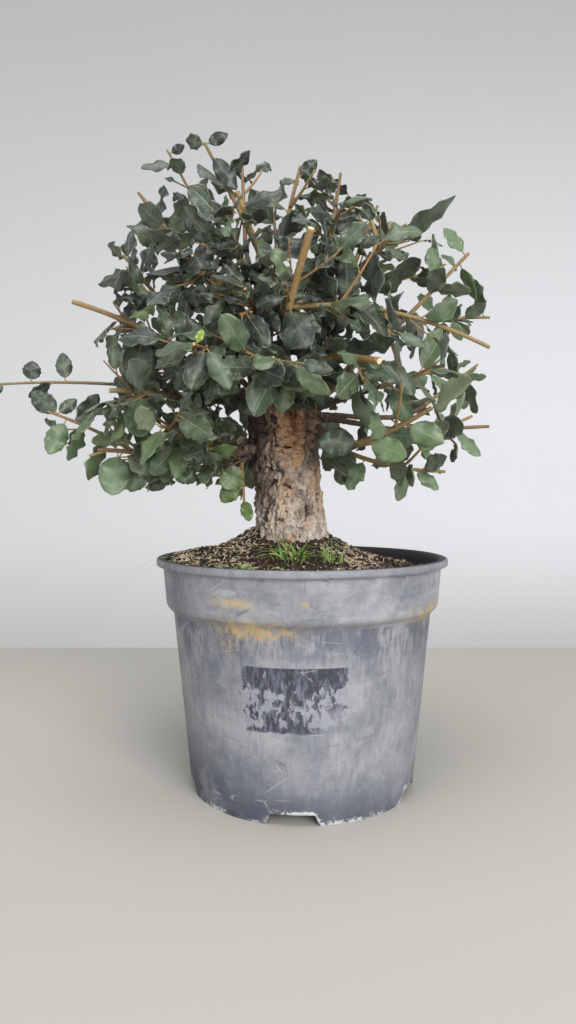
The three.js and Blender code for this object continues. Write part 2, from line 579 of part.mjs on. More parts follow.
// One leaf growing from a twig, or nothing if no draw of its direction is clear.
function growLeaf(curve, t, spiral, open, size, owner, random) {
  const base = curve.getPoint(t);
  const heading = curve.getTangent(t);
  const [u, w] = across(heading);
  const outward = base.clone().sub(CROWN_CENTRE).normalize();
  for (let attempt = 0; attempt < TRIES; attempt++) {
    const angle = spiral + (attempt ? 6.28 : 0.7) * random();
    const spread = open * (0.8 + 0.4 * random());
    const length = size * (0.78 + 0.44 * random());
    const way = heading.clone().multiplyScalar(Math.cos(spread))
      .addScaledVector(u, Math.sin(spread) * Math.cos(angle))
      .addScaledVector(w, Math.sin(spread) * Math.sin(angle))
      .addScaledVector(outward, 0.25)
      .normalize();
    const face = new THREE.Vector3(random() - 0.5, random() - 0.5, random() - 0.5).multiplyScalar(1.1)
      .addScaledVector(outward, 0.7)
      .add(new THREE.Vector3(0, 0, 0.6));
    const normal = face.addScaledVector(way, -face.dot(way)).normalize();
    const leaf = {
      base,
      way,
      normal,
      side: new THREE.Vector3().crossVectors(normal, way),
      length,
      width: length * (0.42 + 0.18 * random()),
      curl: 0.25 + 0.85 * random(),
      fold: -0.15 + 0.6 * random(),
      wave: length * (0.03 + 0.05 * random()),
      phase: 6.28 * random(),
      owner,
    };
    leaf.probes = probes(leaf);
    leaf.middle = bladeSkin(leaf, 0.55, 0, 0);
    if (leafIsClear(leaf, owner)) return leaf;
  }
  return null;
}

// A leaf whose tip and breadth from the front are known: it is turned about its midrib to look that narrow.
function knownLeaf(curve, [t, tip, seen], owner, random) {
  const base = curve.getPoint(t);
  const way = vector(tip).sub(base);
  const length = way.length();
  way.normalize();
  const width = Math.max(0.44 * length, seen);
  const turn = Math.acos(Math.min(seen / width, 1)) * (random() < 0.5 ? 1 : -1);
  const front = EYE.clone().sub(base);
  front.addScaledVector(way, -front.dot(way)).normalize();
  const normal = front.clone().applyAxisAngle(way, turn);
  const leaf = {
    base,
    way,
    normal,
    side: new THREE.Vector3().crossVectors(normal, way),
    length,
    width,
    curl: 0.15 + 0.25 * random(),
    fold: -0.1 + 0.35 * random(),
    wave: length * (0.02 + 0.03 * random()),
    phase: 6.28 * random(),
    owner,
  };
  leaf.probes = probes(leaf);
  leaf.middle = bladeSkin(leaf, 0.55, 0, 0);
  placed.push(leaf);
  return leaf;
}

function growLeaves(curve, count, from, to, size, owner, random, terminal) {
  const leaves = [];
  for (let k = 0; k < count; k++) {
    const t = from + ((to - from) * (k + 0.5)) / count;
    const last = terminal && k === count - 1;
    const leaf = growLeaf(curve, last ? 0.97 : t, TURN * k, last ? 0.25 : 0.95, size, owner, random);
    if (!leaf) continue;
    placed.push(leaf);
    leaves.push(leaf);
  }
  return leaves;
}

// A leaf as a closed blade: the same corners and the same strip of triangles on both faces.
function blade(leaf) {
  const shares = leaf.length < SMALL_LEAF ? [0.3, 0.72] : [0.2, 0.48, 0.78];
  const m = shares.length;
  const places = [[0, 0], ...shares.map((t) => [t, 1]), [1, 0], ...shares.map((t) => [t - 0.07, -1]).reverse()];
  const n = places.length;
  const points = [1, -1].flatMap((face) => places.map(([t, s]) => bladeSkin(leaf, t, s, face)));
  const strip = [[0, n - 1, 1]];
  for (let k = 1; k < m; k++) strip.push([k, n - k, n - k - 1], [k, n - k - 1, k + 1]);
  strip.push([m, n - m, m + 1]);
  const faces = strip.flatMap(([i, j, k]) => [[i, j, k], [i + n, k + n, j + n]]);
  for (let i = 0; i < n; i++) {
    const j = (i + 1) % n;
    faces.push([i, j, j + n], [i, j + n, i + n]);
  }
  return solid(facets(points, faces));
}

// Blocks the trunk, the limbs and every main twig, before any side twig or leaf is placed.
function blockFrame() {
  for (let z = 190; z <= CHOP.high; z += 4) {
    const { x, y, radius } = trunkAt(z);
    obstacles.push({ at: new THREE.Vector3(x, y, z), radius: radius + 2, owner: 'trunk' });
  }
  blockCurve(leaderCurve, LEADER.radii[0], LEADER.radii[1], 'trunk');
  for (const branch of BRANCHES) {
    if (branch.hub) blockCurve(limbCurve(branch), 1.5 * branch.r[0] + 0.6, branch.r[0], 'trunk');
    blockCurve(axisOf(branch), branch.r[0], branch.r[1], branch.name);
  }
}

// Every spray: its twigs first, then its leaves, then one solid of them all.
function sprays() {
  const random = makeRandom(20417);
  blockFrame();
  const grown = BRANCHES.map((branch) => ({ branch, axis: axisOf(branch) }));
  for (const spray of grown) {
    spray.known = (spray.branch.known || []).map((row) => knownLeaf(spray.axis, row, spray.branch.name, random));
  }
  for (const spray of grown) spray.twigs = sideTwigs(spray.branch, spray.axis, random);
  const shapes = new Map();
  for (const { branch, axis, known, twigs } of grown) {
    const leafy = 1 - (branch.stub || 0);
    const leaves = [...known];
    leaves.push(...growLeaves(axis, branch.leaves, 0.08, leafy, branch.size, branch.name, random, !branch.stub));
    for (const twig of twigs) leaves.push(...growLeaves(twig, 2, 0.4, 1, branch.size * 0.9, branch.name, random, true));
    const pieces = [
      tube(axis, branch.r[0], branch.r[1], branch.r[0] < 2.1 ? 3 : 4, 3),
      ...twigs.map((twig) => tube(twig, 1.3, 0.8, 3, 2)),
      ...leaves.map(blade),
    ];
    const whole = joined(pieces);
    shapes.set(branch.name, shapes.has(branch.name) ? joined([shapes.get(branch.name), whole]) : whole);
  }
  return shapes;
}

const group = new THREE.Group();
group.add(meshOf('pot', pot(), MATERIAL.pot));
group.add(meshOf('soil', soil(), MATERIAL.soil));
group.add(meshOf('trunk', trunk(), MATERIAL.bark));
for (const tuft of TUFTS) group.add(meshOf(tuft.name, grass(tuft), MATERIAL.grass));
for (const [name, shape] of sprays()) group.add(meshOf(name, shape, MATERIAL.leaf));

const bounds = new THREE.Box3().setFromObject(group);
group.position.set(-(bounds.min.x + bounds.max.x) / 2, -(bounds.min.y + bounds.max.y) / 2, 0);
export default group;
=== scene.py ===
"""A cork oak bonsai in a weathered round nursery pot: bark, leaves, soil, grass and pot over the solids.

The layout is in millimetres from the pot's axis at the floor and is moved to the solids' place at the end.
The leaves grow by the same rules and draws as the solids' leaves, and smaller ones then fill in between.
"""
import math

import bpy
import numpy as np
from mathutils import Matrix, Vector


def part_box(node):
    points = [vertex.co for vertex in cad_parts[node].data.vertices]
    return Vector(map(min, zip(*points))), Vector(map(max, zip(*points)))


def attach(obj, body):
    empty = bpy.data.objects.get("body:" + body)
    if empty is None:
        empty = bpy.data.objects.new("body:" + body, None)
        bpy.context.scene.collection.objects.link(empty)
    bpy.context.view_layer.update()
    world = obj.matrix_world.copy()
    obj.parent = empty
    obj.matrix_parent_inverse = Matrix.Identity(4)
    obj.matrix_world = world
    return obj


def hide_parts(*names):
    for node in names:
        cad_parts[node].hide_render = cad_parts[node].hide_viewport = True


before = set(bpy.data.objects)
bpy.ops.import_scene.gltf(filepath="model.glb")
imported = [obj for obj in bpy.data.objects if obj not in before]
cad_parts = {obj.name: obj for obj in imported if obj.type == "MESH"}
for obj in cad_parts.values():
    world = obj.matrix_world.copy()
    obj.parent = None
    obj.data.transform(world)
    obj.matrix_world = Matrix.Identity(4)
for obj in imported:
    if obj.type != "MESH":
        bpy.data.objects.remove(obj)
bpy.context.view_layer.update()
pot_low, pot_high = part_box("pot")

# Layout in millimetres from the pot's axis at the floor, the same as the solids have.
POT_HEIGHT, RIM_RADIUS, FOOT_RADIUS, POT_WALL = 175, 112.5, 86.5, 2
LIP_HEIGHT, LIP_WIDTH, BAND_HEIGHT, STEP_WIDTH, STEP_HEIGHT = 5.5, 5, 30, 5.4, 5
PLATE_BOTTOM, PLATE_TOP = 8.4, 10.6
NOTCH_COUNT, NOTCH_FIRST, NOTCH_WIDTH, NOTCH_TOP_WIDTH, NOTCH_HEIGHT = 5, -95.2, 38, 29, 8
DRAIN_RADIUS, DRAIN_CIRCLE = 6, 58
GAP = 0.35
SOIL_LEVEL, SOIL_TILT, SOIL_MOUND, SOIL_SPREAD, SOIL_BACK, SOIL_RELIEF = 165.5, 0.05, 31, 36, 12, 1.1
ROOT_RADIUS, ROOT_BOTTOM, TRUNK_X = 26, 150, -9
CHOP_LOW, CHOP_HIGH, CHOP_FRONT, CHOP_BACK = 244, 297, -25, 12
LEADER_POINTS = [(-19, 5, 226), (-36, 4, 268), (-36, 5, 322), (-27, 6, 368)]
LEADER_RADII = (13, 6)
LEADER_HUBS = {"low": 0.24, "leader": 0.5, "crotch": 0.74, "crown": 0.97}
TRUNK_HUBS = {"shoulder": (0, 6, 283), "rear": (-14, 16, 284)}
TUFTS = [
    {"name": "grass_front", "x": -9, "y": -52, "root": 4, "tall": 19, "spread": 0.9},
    {"name": "grass_right", "x": 19, "y": -48, "root": 2.5, "tall": 19, "spread": 0.35},
]

# Rules of growth, the same as the solids follow.
CROWN_CENTRE = np.array([-15.0, 0.0, 345.0])
PETIOLE = 0.14
TURN = math.radians(137.5)
TRIES = 14
FULL_TURN = 6.28
GROWTH_SEED = 20417
BLOCK_STEP = 4
CLEAR_NODE, CLEAR_SAME, CLEAR_TWIG = 4.6, 3.6, 2.2
EYE = np.array([-10.9, -547.0, 223.0])
CROWN_OUTLINE = np.array([
    (-149, 224), (-171, 231), (-196, 259), (-213, 293), (-150, 299), (-148, 320), (-166, 336), (-162, 358),
    (-146, 378), (-158, 388), (-138, 406), (-148, 416), (-137, 440), (-124, 466), (-124, 483), (-104, 495),
    (-88, 506), (-62, 506), (-36, 489), (-14, 470), (-3, 481), (14, 479), (33, 467), (49, 460), (65, 445),
    (100, 435), (117, 431), (130, 415), (132, 398), (145, 376), (144, 360), (130, 338), (141, 317),
    (138, 291), (132, 268), (142, 256), (118, 242), (104, 230), (74, 220), (35, 227), (19, 237), (13, 250),
    (9, 286), (-34, 286), (-36, 254), (-36, 206), (-44, 206), (-54, 219), (-66, 223), (-96, 230), (-123, 223),
], float)
UP = np.array([0.0, 0.0, 1.0])


def branch(name, hub, start, end, bow, radii, leaves, twigs, size, stub=0, known=()):
    """One spray: the hub its limb grows from, its twig's ends in mm, and what the twig carries."""
    return {"name": name, "hub": hub, "from": start, "to": end, "bow": bow, "r": radii, "leaves": leaves,
            "twigs": twigs, "size": size, "stub": stub, "known": known}


# The sprays. known lists the leaves that show against the background: place along the twig, tip, breadth.
BRANCHES = [
    branch("left_shoot", "leader", (-145, -15, 307), (-243, -25, 304), 2, (1.3, 0.8), 2, 0, 24, 0, [
        (0.61, (-202, -24, 323), 13), (0.35, (-181, -20, 331), 12), (0.44, (-201, -32, 294), 8),
        (0.8, (-233, -28, 297), 7)]),
    branch("left_low", "low", (-128, -28, 256), (-182, -50, 282), 2, (1.6, 0.9), 1, 0, 28, 0, [
        (0.86, (-194, -52, 297), 15), (0.9, (-163, -42, 292), 9), (0.68, (-146, -46, 294), 11),
        (0.78, (-179, -58, 252), 15), (0.55, (-167, -46, 246), 9), (0.3, (-153, -42, 232), 11)]),
    branch("left_stub", "leader", (-92, -66, 291), (-128, -90, 291), 1, (2.2, 1.7), 4, 1, 38, 0.3, [
        (0.62, (-108, -80, 330), 25), (0.5, (-107, -96, 262), 21)]),
    branch("low_left_stub", "low", (-98, -44, 250), (-143, -62, 254), 1, (1.9, 1.5), 5, 1, 32, 0.3, [
        (0.72, (-131, -72, 224), 22)]),
    branch("bare_left", "crotch", (-98, -40, 334), (-161, -60, 357), 2, (2.1, 1.6), 5, 1, 30, 0.45),
    branch("left_up", "crotch", (-88, -57, 340), (-122, -75, 384), 2, (1.8, 1), 4, 1, 31, 0, [
        (0.96, (-138, -62, 394), 8), (0.8, (-144, -62, 370), 8), (0.9, (-122, -64, 408), 10)]),
    branch("upper_left", "crown", (-84, -20, 396), (-121, -30, 445), 1, (1.7, 1.2), 5, 1, 30, 0.35, [
        (0.4, (-130, -30, 424), 9)]),
    branch("thin_top_left", "crown", (-74, 2, 434), (-104, -5, 488), 1, (1.3, 0.8), 6, 0, 20, 0, [
        (0.8, (-124, -8, 475), 7), (0.95, (-90, -8, 490), 7)]),
    branch("top_green", "crown", (-30, -58, 389), (-66, -85, 454), 2, (2.1, 1), 3, 0, 36, 0, [
        (0.9, (-44, -84, 426), 12), (0.66, (-34, -84, 447), 8), (0.98, (-50, -88, 458), 8),
        (0.97, (-80, -80, 459), 9), (0.4, (-16, -80, 428), 10)]),
    branch("top_back", "crown", (-45, 15, 425), (-48, 15, 495), 1, (1.9, 1.0), 6, 1, 26),
    branch("top_mid", "crown", (-18, -40, 395), (-2, -50, 455), 1, (1.7, 1.1), 6, 1, 29, 0, [
        (0.85, (10, -54, 457), 10)]),
    branch("bold_stub", "shoulder", (-11, -90, 343), (3, -125, 383), 1, (2.6, 2.3), 0, 0, 34, 0.6, [
        (0.05, (-2, -130, 314), 25)]),
    branch("bold_stub", None, (-11, -91, 345), (118, -100, 317), 10, (1.8, 1.2), 7, 2, 36, 0.3, [
        (0.3, (27, -88, 381), 17), (0.27, (1, -82, 378), 12), (0.45, (37, -84, 384), 12)]),
    branch("top_right_stub", "shoulder", (46, -36, 392), (72, -60, 410), 1, (2.3, 1.9), 4, 1, 30, 0.4, [
        (0.6, (107, -70, 418), 11)]),
    branch("top_right", "crown", (21, -10, 412), (29, -15, 466), 1, (2, 1.1), 7, 1, 28),
    branch("top_far_right", "rear", (44, 22, 412), (62, 25, 458), 1, (2, 1.1), 6, 1, 28),
    branch("right_up", "shoulder", (79, -28, 356), (121, -35, 399), 0, (1.7, 1.2), 5, 1, 29, 0.2, [
        (0.95, (104, -36, 419), 9), (0.5, (95, -32, 406), 10), (0.85, (126, -28, 366), 8)]),
    branch("right_mid", "shoulder", (88, 12, 358), (151, 15, 365), 2, (1.6, 1.1), 5, 1, 26, 0.3, [
        (0.93, (133, 12, 394), 9), (0.5, (128, 12, 346), 9)]),
    branch("right_fore", "shoulder", (52, -68, 297), (93, -85, 306), 1, (1.7, 1.2), 6, 1, 33, 0.25),
    branch("fore_stub", "shoulder", (5, -56, 318), (46, -112, 306), 2, (2.8, 2.3), 4, 0, 38, 0.2, [
        (0.42, (56, -108, 318), 14)]),
    branch("low_right", "shoulder", (38, -58, 259), (82, -96, 279), -2, (2.2, 1.5), 4, 1, 36, 0, [
        (0.05, (11, -68, 259), 20), (0.12, (68, -78, 249), 18), (0.3, (31, -72, 293), 13)]),
    branch("low_right_out", "shoulder", (84, -38, 270), (134, -45, 272), 0, (1.7, 1.2), 5, 1, 28, 0.3, [
        (0.5, (130, -45, 252), 8)]),
    branch("right_thin", "rear", (98, 10, 294), (141, 12, 327), 0, (1.7, 0.9), 3, 1, 21, 0, [
        (0.75, (134, 2, 286), 8), (0.7, (147, 8, 315), 6), (0.6, (117, 10, 337), 9)]),
    branch("low_right_hang", "shoulder", (40, -16, 253), (106, -30, 240), -3, (1.9, 1.1), 5, 1, 28, 0, [
        (0.6, (72, -32, 218), 9), (0.66, (101, -34, 228), 9), (0.12, (33, -30, 228), 12)]),
    branch("fore_mid", "leader", (-16, -58, 303), (-20, -122, 306), 4, (1.9, 1.1), 7, 1, 38),
    branch("fore_left", "leader", (-46, -54, 306), (-68, -124, 314), 3, (1.9, 1.1), 7, 1, 34),
    branch("fore_low_left", "low", (-60, -38, 254), (-95, -95, 268), 1, (1.9, 1.1), 7, 1, 36),
    branch("fore_upper_left", "crotch", (-50, -56, 362), (-80, -92, 381), 2, (1.9, 1.1), 6, 1, 33),
    branch("mid_front", "crotch", (-30, -58, 338), (-38, -108, 352), 2, (1.9, 1.1), 7, 1, 34),
    branch("mid_high", "crown", (-40, -46, 374), (-52, -92, 402), 2, (1.9, 1.1), 6, 1, 32),
    branch("front_high", "crown", (6, -48, 378), (24, -88, 410), 2, (1.9, 1.1), 6, 1, 32),
    branch("under_left", "low", (-47, -4, 248), (-45, -7, 217), 0, (1.6, 1.0), 0, 0, 28, 0, [
        (0.05, (-60, -14, 228), 19), (0.45, (-64, -4, 217), 14), (0.9, (-40, -20, 204), 9),
        (0.3, (-52, 20, 236), 12)]),
    branch("far_low_left", "low", (-82, 32, 266), (-134, 56, 246), 2, (2, 1.1), 7, 1, 32),
]

# The far side of the crown: three tiers and a top spread round the back.
REAR_TIERS = [
    ("rear", 262, 4, 118, (18, 66, 112)),
    ("leader", 318, 12, 136, (40, 94, 148)),
    ("crown", 372, 34, 112, (22, 80, 138)),
    ("crown", 420, 44, 62, (98,)),
]


def rear_branches():
    rows = []
    for row, (hub, height, lift, reach, directions) in enumerate(REAR_TIERS):
        for k, degrees in enumerate(directions):
            angle = math.radians(degrees)

            def at(distance, z):
                return (CROWN_CENTRE[0] + distance * math.cos(angle), distance * math.sin(angle), z)

            rows.append(branch(
                f"rear_{'abcd'[row]}{k + 1}", "shoulder" if degrees < 55 and row < 2 else hub,
                at(reach * 0.52, height), at(reach, height + lift), 3, (2.2, 1.1), 5, 1, 35))
    return rows


BRANCHES += rear_branches()


class Draws:
    """The same numbers from the same seed, from 0 to 1."""

    def __init__(self, seed):
        self.state = seed

    def __call__(self):
        self.state = (self.state * 1664525 + 1013904223) % 2 ** 32
        return (self.state >> 4) / 2 ** 28

    def between(self, low, high):
        return low + (high - low) * self()


def vec(p):
    return np.array(p, float)


def unit(v):
    return v / (math.sqrt(v @ v) or 1)


class Curve:
    """A Bezier curve of three or four points."""

    def __init__(self, *points):
        self.points = [vec(p) for p in points]

    def at(self, t):
        k = 1 - t
        if len(self.points) == 3:
            weights = (k * k, 2 * k * t, t * t)
        else:
            weights = (k * k * k, 3 * k * k * t, 3 * k * t * t, t * t * t)
        return sum(w * p for w, p in zip(weights, self.points))

    def heading(self, t):
        return unit(self.at(min(t + 0.0001, 1)) - self.at(max(t - 0.0001, 0)))

    def length(self):
        steps = np.array([self.at(k / 200) for k in range(201)])
        return float(np.sqrt(((steps[1:] - steps[:-1]) ** 2).sum(1)).sum())


def axis_of(row):
    start, end = vec(row["from"]), vec(row["to"])
    return Curve(start, start + (end - start) * 0.5 + UP * 2 * row["bow"], end)


leader_curve = Curve(*LEADER_POINTS)


def hub_of(name):
    return vec(TRUNK_HUBS[name]) if name in TRUNK_HUBS else leader_curve.at(LEADER_HUBS[name])


def limb_curve(row):
    """A bare limb, from the trunk to the twig that it carries."""
    axis = axis_of(row)
    heading = axis.heading(0)
    start = hub_of(row["hub"])
    end = axis.at(0) - heading * GAP
    reach = math.dist(start, end)
    leave = start + (end - start) * 0.35 + UP * 0.06 * reach
    return Curve(start, leave, end - heading * 0.3 * reach, end)


def trunk_at(z):
    """The trunk's centre and radius at a height."""
    up = (z - ROOT_BOTTOM) / (CHOP_HIGH - ROOT_BOTTOM)
    return TRUNK_X - 8 * max(up - 0.3, 0), 0.0, ROOT_RADIUS - 2.6 * up


def across(heading):
    reference = UP if abs(heading[2]) < 0.85 else np.array([1.0, 0.0, 0.0])
    u = unit(np.cross(reference, heading))
    return u, np.cross(heading, u)


def leaning(heading, spread, angle):
    """A way that leans off a heading by spread, towards the side that angle says."""
    u, w = across(heading)
    return heading * math.cos(spread) + math.sin(spread) * (u * math.cos(angle) + w * math.sin(angle))


def from_front(p):
    """Where a place falls on the upright plane through the pot's axis, as the eye sees it: x and z."""
    scale = -EYE[1] / (p[..., 1] - EYE[1])
    return EYE[0] + (p[..., 0] - EYE[0]) * scale, EYE[2] + (p[..., 2] - EYE[2]) * scale


def in_outline(points):
    """Which points fall inside the crown's outline as seen from in front."""
    x, z = from_front(points)
    inside = np.zeros(len(points), bool)
    for (x0, z0), (x1, z1) in zip(CROWN_OUTLINE, np.roll(CROWN_OUTLINE, -1, 0)):
        if z0 != z1:
            inside ^= ((z0 > z) != (z1 > z)) & (x < x0 + (x1 - x0) * (z - z0) / (z1 - z0))
    return inside


def half_width(t):
    """Half the width of a blade along its midrib, as a share of the widest."""
    along = np.clip((t - PETIOLE) / (1 - PETIOLE), 0, 1)
    return np.where(t <= PETIOLE, 0.07, np.maximum(np.sin(np.pi * along ** 0.85), 0) ** 0.8)


def blade_skin(leaf, t, s):
    """Points midway between a blade's faces, and the way out of its upper face: t along, s across."""
    bend = leaf["curl"] * t
    width = half_width(t) * leaf["width"] / 2
    normal = np.multiply.outer(np.cos(bend), leaf["normal"]) + np.multiply.outer(np.sin(bend), leaf["way"])
    wave = leaf["wave"] * half_width(t) * np.sin(leaf["phase"] + 8.5 * t + 1.4 * s)
    middle = (
        leaf["base"]
        + np.multiply.outer(leaf["length"] * np.sin(bend) / leaf["curl"], leaf["way"])
        - np.multiply.outer(leaf["length"] * (1 - np.cos(bend)) / leaf["curl"], leaf["normal"])
        + np.multiply.outer(s * width, leaf["side"]))
    return middle + (np.abs(s) * (wave - leaf["fold"] * width))[..., None] * normal, normal


# Where a blade is probed for what comes near it, along it and across it.
PROBE_GRID = np.meshgrid(0.3 + np.arange(8) / 10, np.arange(-3, 4) / 3, indexing="ij")
PROBE_T, PROBE_S = (places.ravel() for places in PROBE_GRID)


class Crown:
    """What has grown so far, by which new twigs and leaves are kept clear."""

    def __init__(self):
        self.at = np.zeros((0, 3))
        self.radius = np.zeros(0)
        self.owner = []
        self.leaves = []
        self.middles = np.zeros((0, 3))
        self.lengths = np.zeros(0)
        self.probes = np.zeros((0, len(PROBE_T), 3))
        self.front = -1e9

    def block(self, points, radii, owner):
        self.at = np.vstack([self.at, points])
        self.radius = np.append(self.radius, radii)
        self.owner += [owner] * len(points)

    def block_curve(self, curve, radii, owner):
        steps = math.ceil(curve.length() / BLOCK_STEP)
        t = np.arange(steps + 1) / steps
        self.block(np.array([curve.at(x) for x in t]), radii[0] + (radii[1] - radii[0]) * t, owner)

    def add(self, leaf):
        self.leaves.append(leaf)
        self.middles = np.vstack([self.middles, leaf["middle"]])
        self.lengths = np.append(self.lengths, leaf["length"])
        self.probes = np.concatenate([self.probes, leaf["probes"][None]])

    def twig_is_clear(self, curve, radius, owner, slack=3.0):
        own = np.array([name == owner for name in self.owner])
        for k in range(2, 7):
            p = curve.at(k / 6)
            room = radius + self.radius + np.where(own, 1, slack)
            near = np.sqrt(((self.at - p) ** 2).sum(1)) < room
            if (near & ~own if k < 4 else near).any():
                return False
            if len(self.leaves) and (np.sqrt(((self.probes - p) ** 2).sum(2)) < radius + slack).any():
                return False
        return True

    def leaf_is_clear(self, leaf, clear_node, clear_same, clear_twig):
        probes, middle = leaf["probes"], leaf["middle"]
        if probes[:, 1].min() < self.front or not in_outline(probes).all():
            return False
        gap = np.sqrt(((self.at - middle) ** 2).sum(1))
        close = gap < self.radius + clear_twig + leaf["length"] + leaf["width"]
        apart = np.sqrt(((probes[:, None] - self.at[close]) ** 2).sum(2))
        if (apart < self.radius[close] + clear_twig).any():
            return False
        if not self.leaves:
            return True
        clear = np.where([other["owner"] == leaf["owner"] for other in self.leaves], clear_same, clear_node)
        gap = np.sqrt(((self.middles - middle) ** 2).sum(1))
        for i in np.flatnonzero(gap <= (self.lengths + leaf["length"]) * 0.55 + clear):
            if (((probes[:, None] - self.probes[i]) ** 2).sum(2) < clear[i] ** 2).any():
                return False
        return True


def finish_leaf(leaf):
    """Adds what a leaf is kept clear by."""
    leaf["side"] = np.cross(leaf["normal"], leaf["way"])
    leaf["probes"] = blade_skin(leaf, PROBE_T, PROBE_S)[0]
    leaf["middle"] = blade_skin(leaf, np.array([0.55]), np.array([0.0]))[0][0]
    return leaf


def side_twigs(crown, row, axis, random):
    """Side twigs: one that would cross something is turned, then left out."""
    twigs = []
    leafy = 1 - row["stub"]
    for j in range(row["twigs"]):
        t = leafy * (0.2 + 0.65 * (j + 0.5) / row["twigs"])
        for _ in range(TRIES):
            angle = TURN * j + FULL_TURN * random()
            length = row["size"] * (0.75 + 0.45 * random())
            spread = 0.75 + 0.4 * random()
            way = leaning(axis.heading(t), spread, angle)
            start = axis.at(t)
            end = start + way * length + UP * 0.16 * length
            curve = Curve(start, start + way * length * 0.5, end)
            if not in_outline(end[None])[0] or not crown.twig_is_clear(curve, 1.2, row["name"]):
                continue
            crown.block_curve(curve, (1.2, 0.8), row["name"])
            twigs.append(curve)
            break
    return twigs


def grow_leaf(crown, curve, t, spiral, spread, size, owner, random, clear):
    """One leaf from a twig, or nothing if no draw of its direction is clear."""
    base = curve.at(t)
    heading = curve.heading(t)
    outward = unit(base - CROWN_CENTRE)
    for attempt in range(TRIES):
        angle = spiral + (FULL_TURN if attempt else 0.7) * random()
        opened = spread * (0.8 + 0.4 * random())
        length = size * (0.78 + 0.44 * random())
        way = unit(leaning(heading, opened, angle) + outward * 0.25)
        face = vec((random() - 0.5, random() - 0.5, random() - 0.5)) * 1.1 + outward * 0.7 + UP * 0.6
        leaf = {"base": base, "way": way, "normal": unit(face - way * (face @ way)), "length": length,
                "width": length * (0.42 + 0.18 * random()), "curl": 0.25 + 0.85 * random(),
                "fold": -0.15 + 0.6 * random(), "wave": length * (0.03 + 0.05 * random()),
                "phase": FULL_TURN * random(), "owner": owner}
        if crown.leaf_is_clear(finish_leaf(leaf), *clear):
            return leaf
    return None


def known_leaf(crown, curve, row, owner, random):
    """A leaf whose tip and breadth from the front are known: it is turned about its midrib."""
    t, tip, seen = row
    base = curve.at(t)
    way = vec(tip) - base
    length = math.sqrt(way @ way)
    way = way / length
    width = max(0.44 * length, seen)
    turn = math.acos(min(seen / width, 1)) * (1 if random() < 0.5 else -1)
    front = EYE - base
    front = unit(front - way * (front @ way))
    normal = front * math.cos(turn) + np.cross(way, front) * math.sin(turn)
    leaf = finish_leaf({
        "base": base, "way": way, "normal": normal, "length": length, "width": width,
        "curl": 0.15 + 0.25 * random(), "fold": -0.1 + 0.35 * random(),
        "wave": length * (0.02 + 0.03 * random()), "phase": FULL_TURN * random(), "owner": owner,
        "known": True})
    crown.add(leaf)
    return leaf


def grow_leaves(crown, curve, count, low, high, size, owner, random, terminal,
                clear=(CLEAR_NODE, CLEAR_SAME, CLEAR_TWIG)):
    leaves = []
    for k in range(count):
        last = terminal and k == count - 1
        t = 0.97 if last else low + (high - low) * (k + 0.5) / count
        leaf = grow_leaf(crown, curve, t, TURN * k, 0.25 if last else 0.95, size, owner, random, clear)
        if leaf:
            crown.add(leaf)
            leaves.append(leaf)
    return leaves


def grow():
    """Grows the sprays in the same order and from the same draws as the solids."""
    crown = Crown()
    random = Draws(GROWTH_SEED)
    for z in range(190, CHOP_HIGH + 1, 4):
        x, y, radius = trunk_at(z)
        crown.block([(x, y, z)], [radius + 2], "trunk")
    crown.block_curve(leader_curve, LEADER_RADII, "trunk")
    for row in BRANCHES:
        if row["hub"]:
            crown.block_curve(limb_curve(row), (1.5 * row["r"][0] + 0.6, row["r"][0]), "trunk")
        crown.block_curve(axis_of(row), row["r"], row["name"])
    sprays = [{"row": row, "axis": axis_of(row)} for row in BRANCHES]
    for spray in sprays:
        row = spray["row"]
        axis, name = spray["axis"], row["name"]
        spray["leaves"] = [known_leaf(crown, axis, known, name, random) for known in row["known"]]
    for spray in sprays:
        spray["twigs"] = side_twigs(crown, spray["row"], spray["axis"], random)
    for spray in sprays:
        row = spray["row"]
        size, name, leafy = row["size"], row["name"], 1 - row["stub"]
        spray["leaves"] += grow_leaves(
            crown, spray["axis"], row["leaves"], 0.08, leafy, size, name, random, not row["stub"])
        for twig in spray["twigs"]:
            spray["leaves"] += grow_leaves(crown, twig, 2, 0.4, 1, size * 0.9, name, random, True)
    return crown, sprays


# Placing: from layout millimetres to the solids' metres.
MM = 0.001
AXIS = np.array([(pot_low[0] + pot_high[0]) / 2, (pot_low[1] + pot_high[1]) / 2, 0.0])

# What a lattice cell's place and the seed are multiplied by, so that every cell has its own random value.
CELL_FACTORS, SEED_FACTOR = np.array([73856093, 19349663, 83492791]), 2654435761
MIXERS = ((13, 1274126177), (16, 2246822519))
WORD = 0xFFFFFFFF


def smooth(low, high, x):
    """0 below low, 1 above high and a smooth step between."""
    x = np.clip((x - low) / (high - low), 0, 1)
    return x * x * (3 - 2 * x)


def noise(p, seed=0):
    """Smooth random values from -1 to 1, one lattice cell a unit."""
    cell = np.floor(p).astype(np.int64)
    f = p - cell
    f = f * f * f * (f * (6 * f - 15) + 10)
    total = np.zeros(p.shape[:-1])
    for corner in range(8):
        bits = np.array([corner & 1, corner >> 1 & 1, corner >> 2])
        mixed = np.bitwise_xor.reduce((cell + bits) * CELL_FACTORS, -1) ^ (seed * SEED_FACTOR)
        for shift, factor in MIXERS:
            mixed = (mixed ^ (mixed >> shift)) * factor & WORD
        weight = np.where(bits, f, 1 - f).prod(-1)
        total += weight * ((mixed >> 8) / 8388607.5 - 1)
    return total


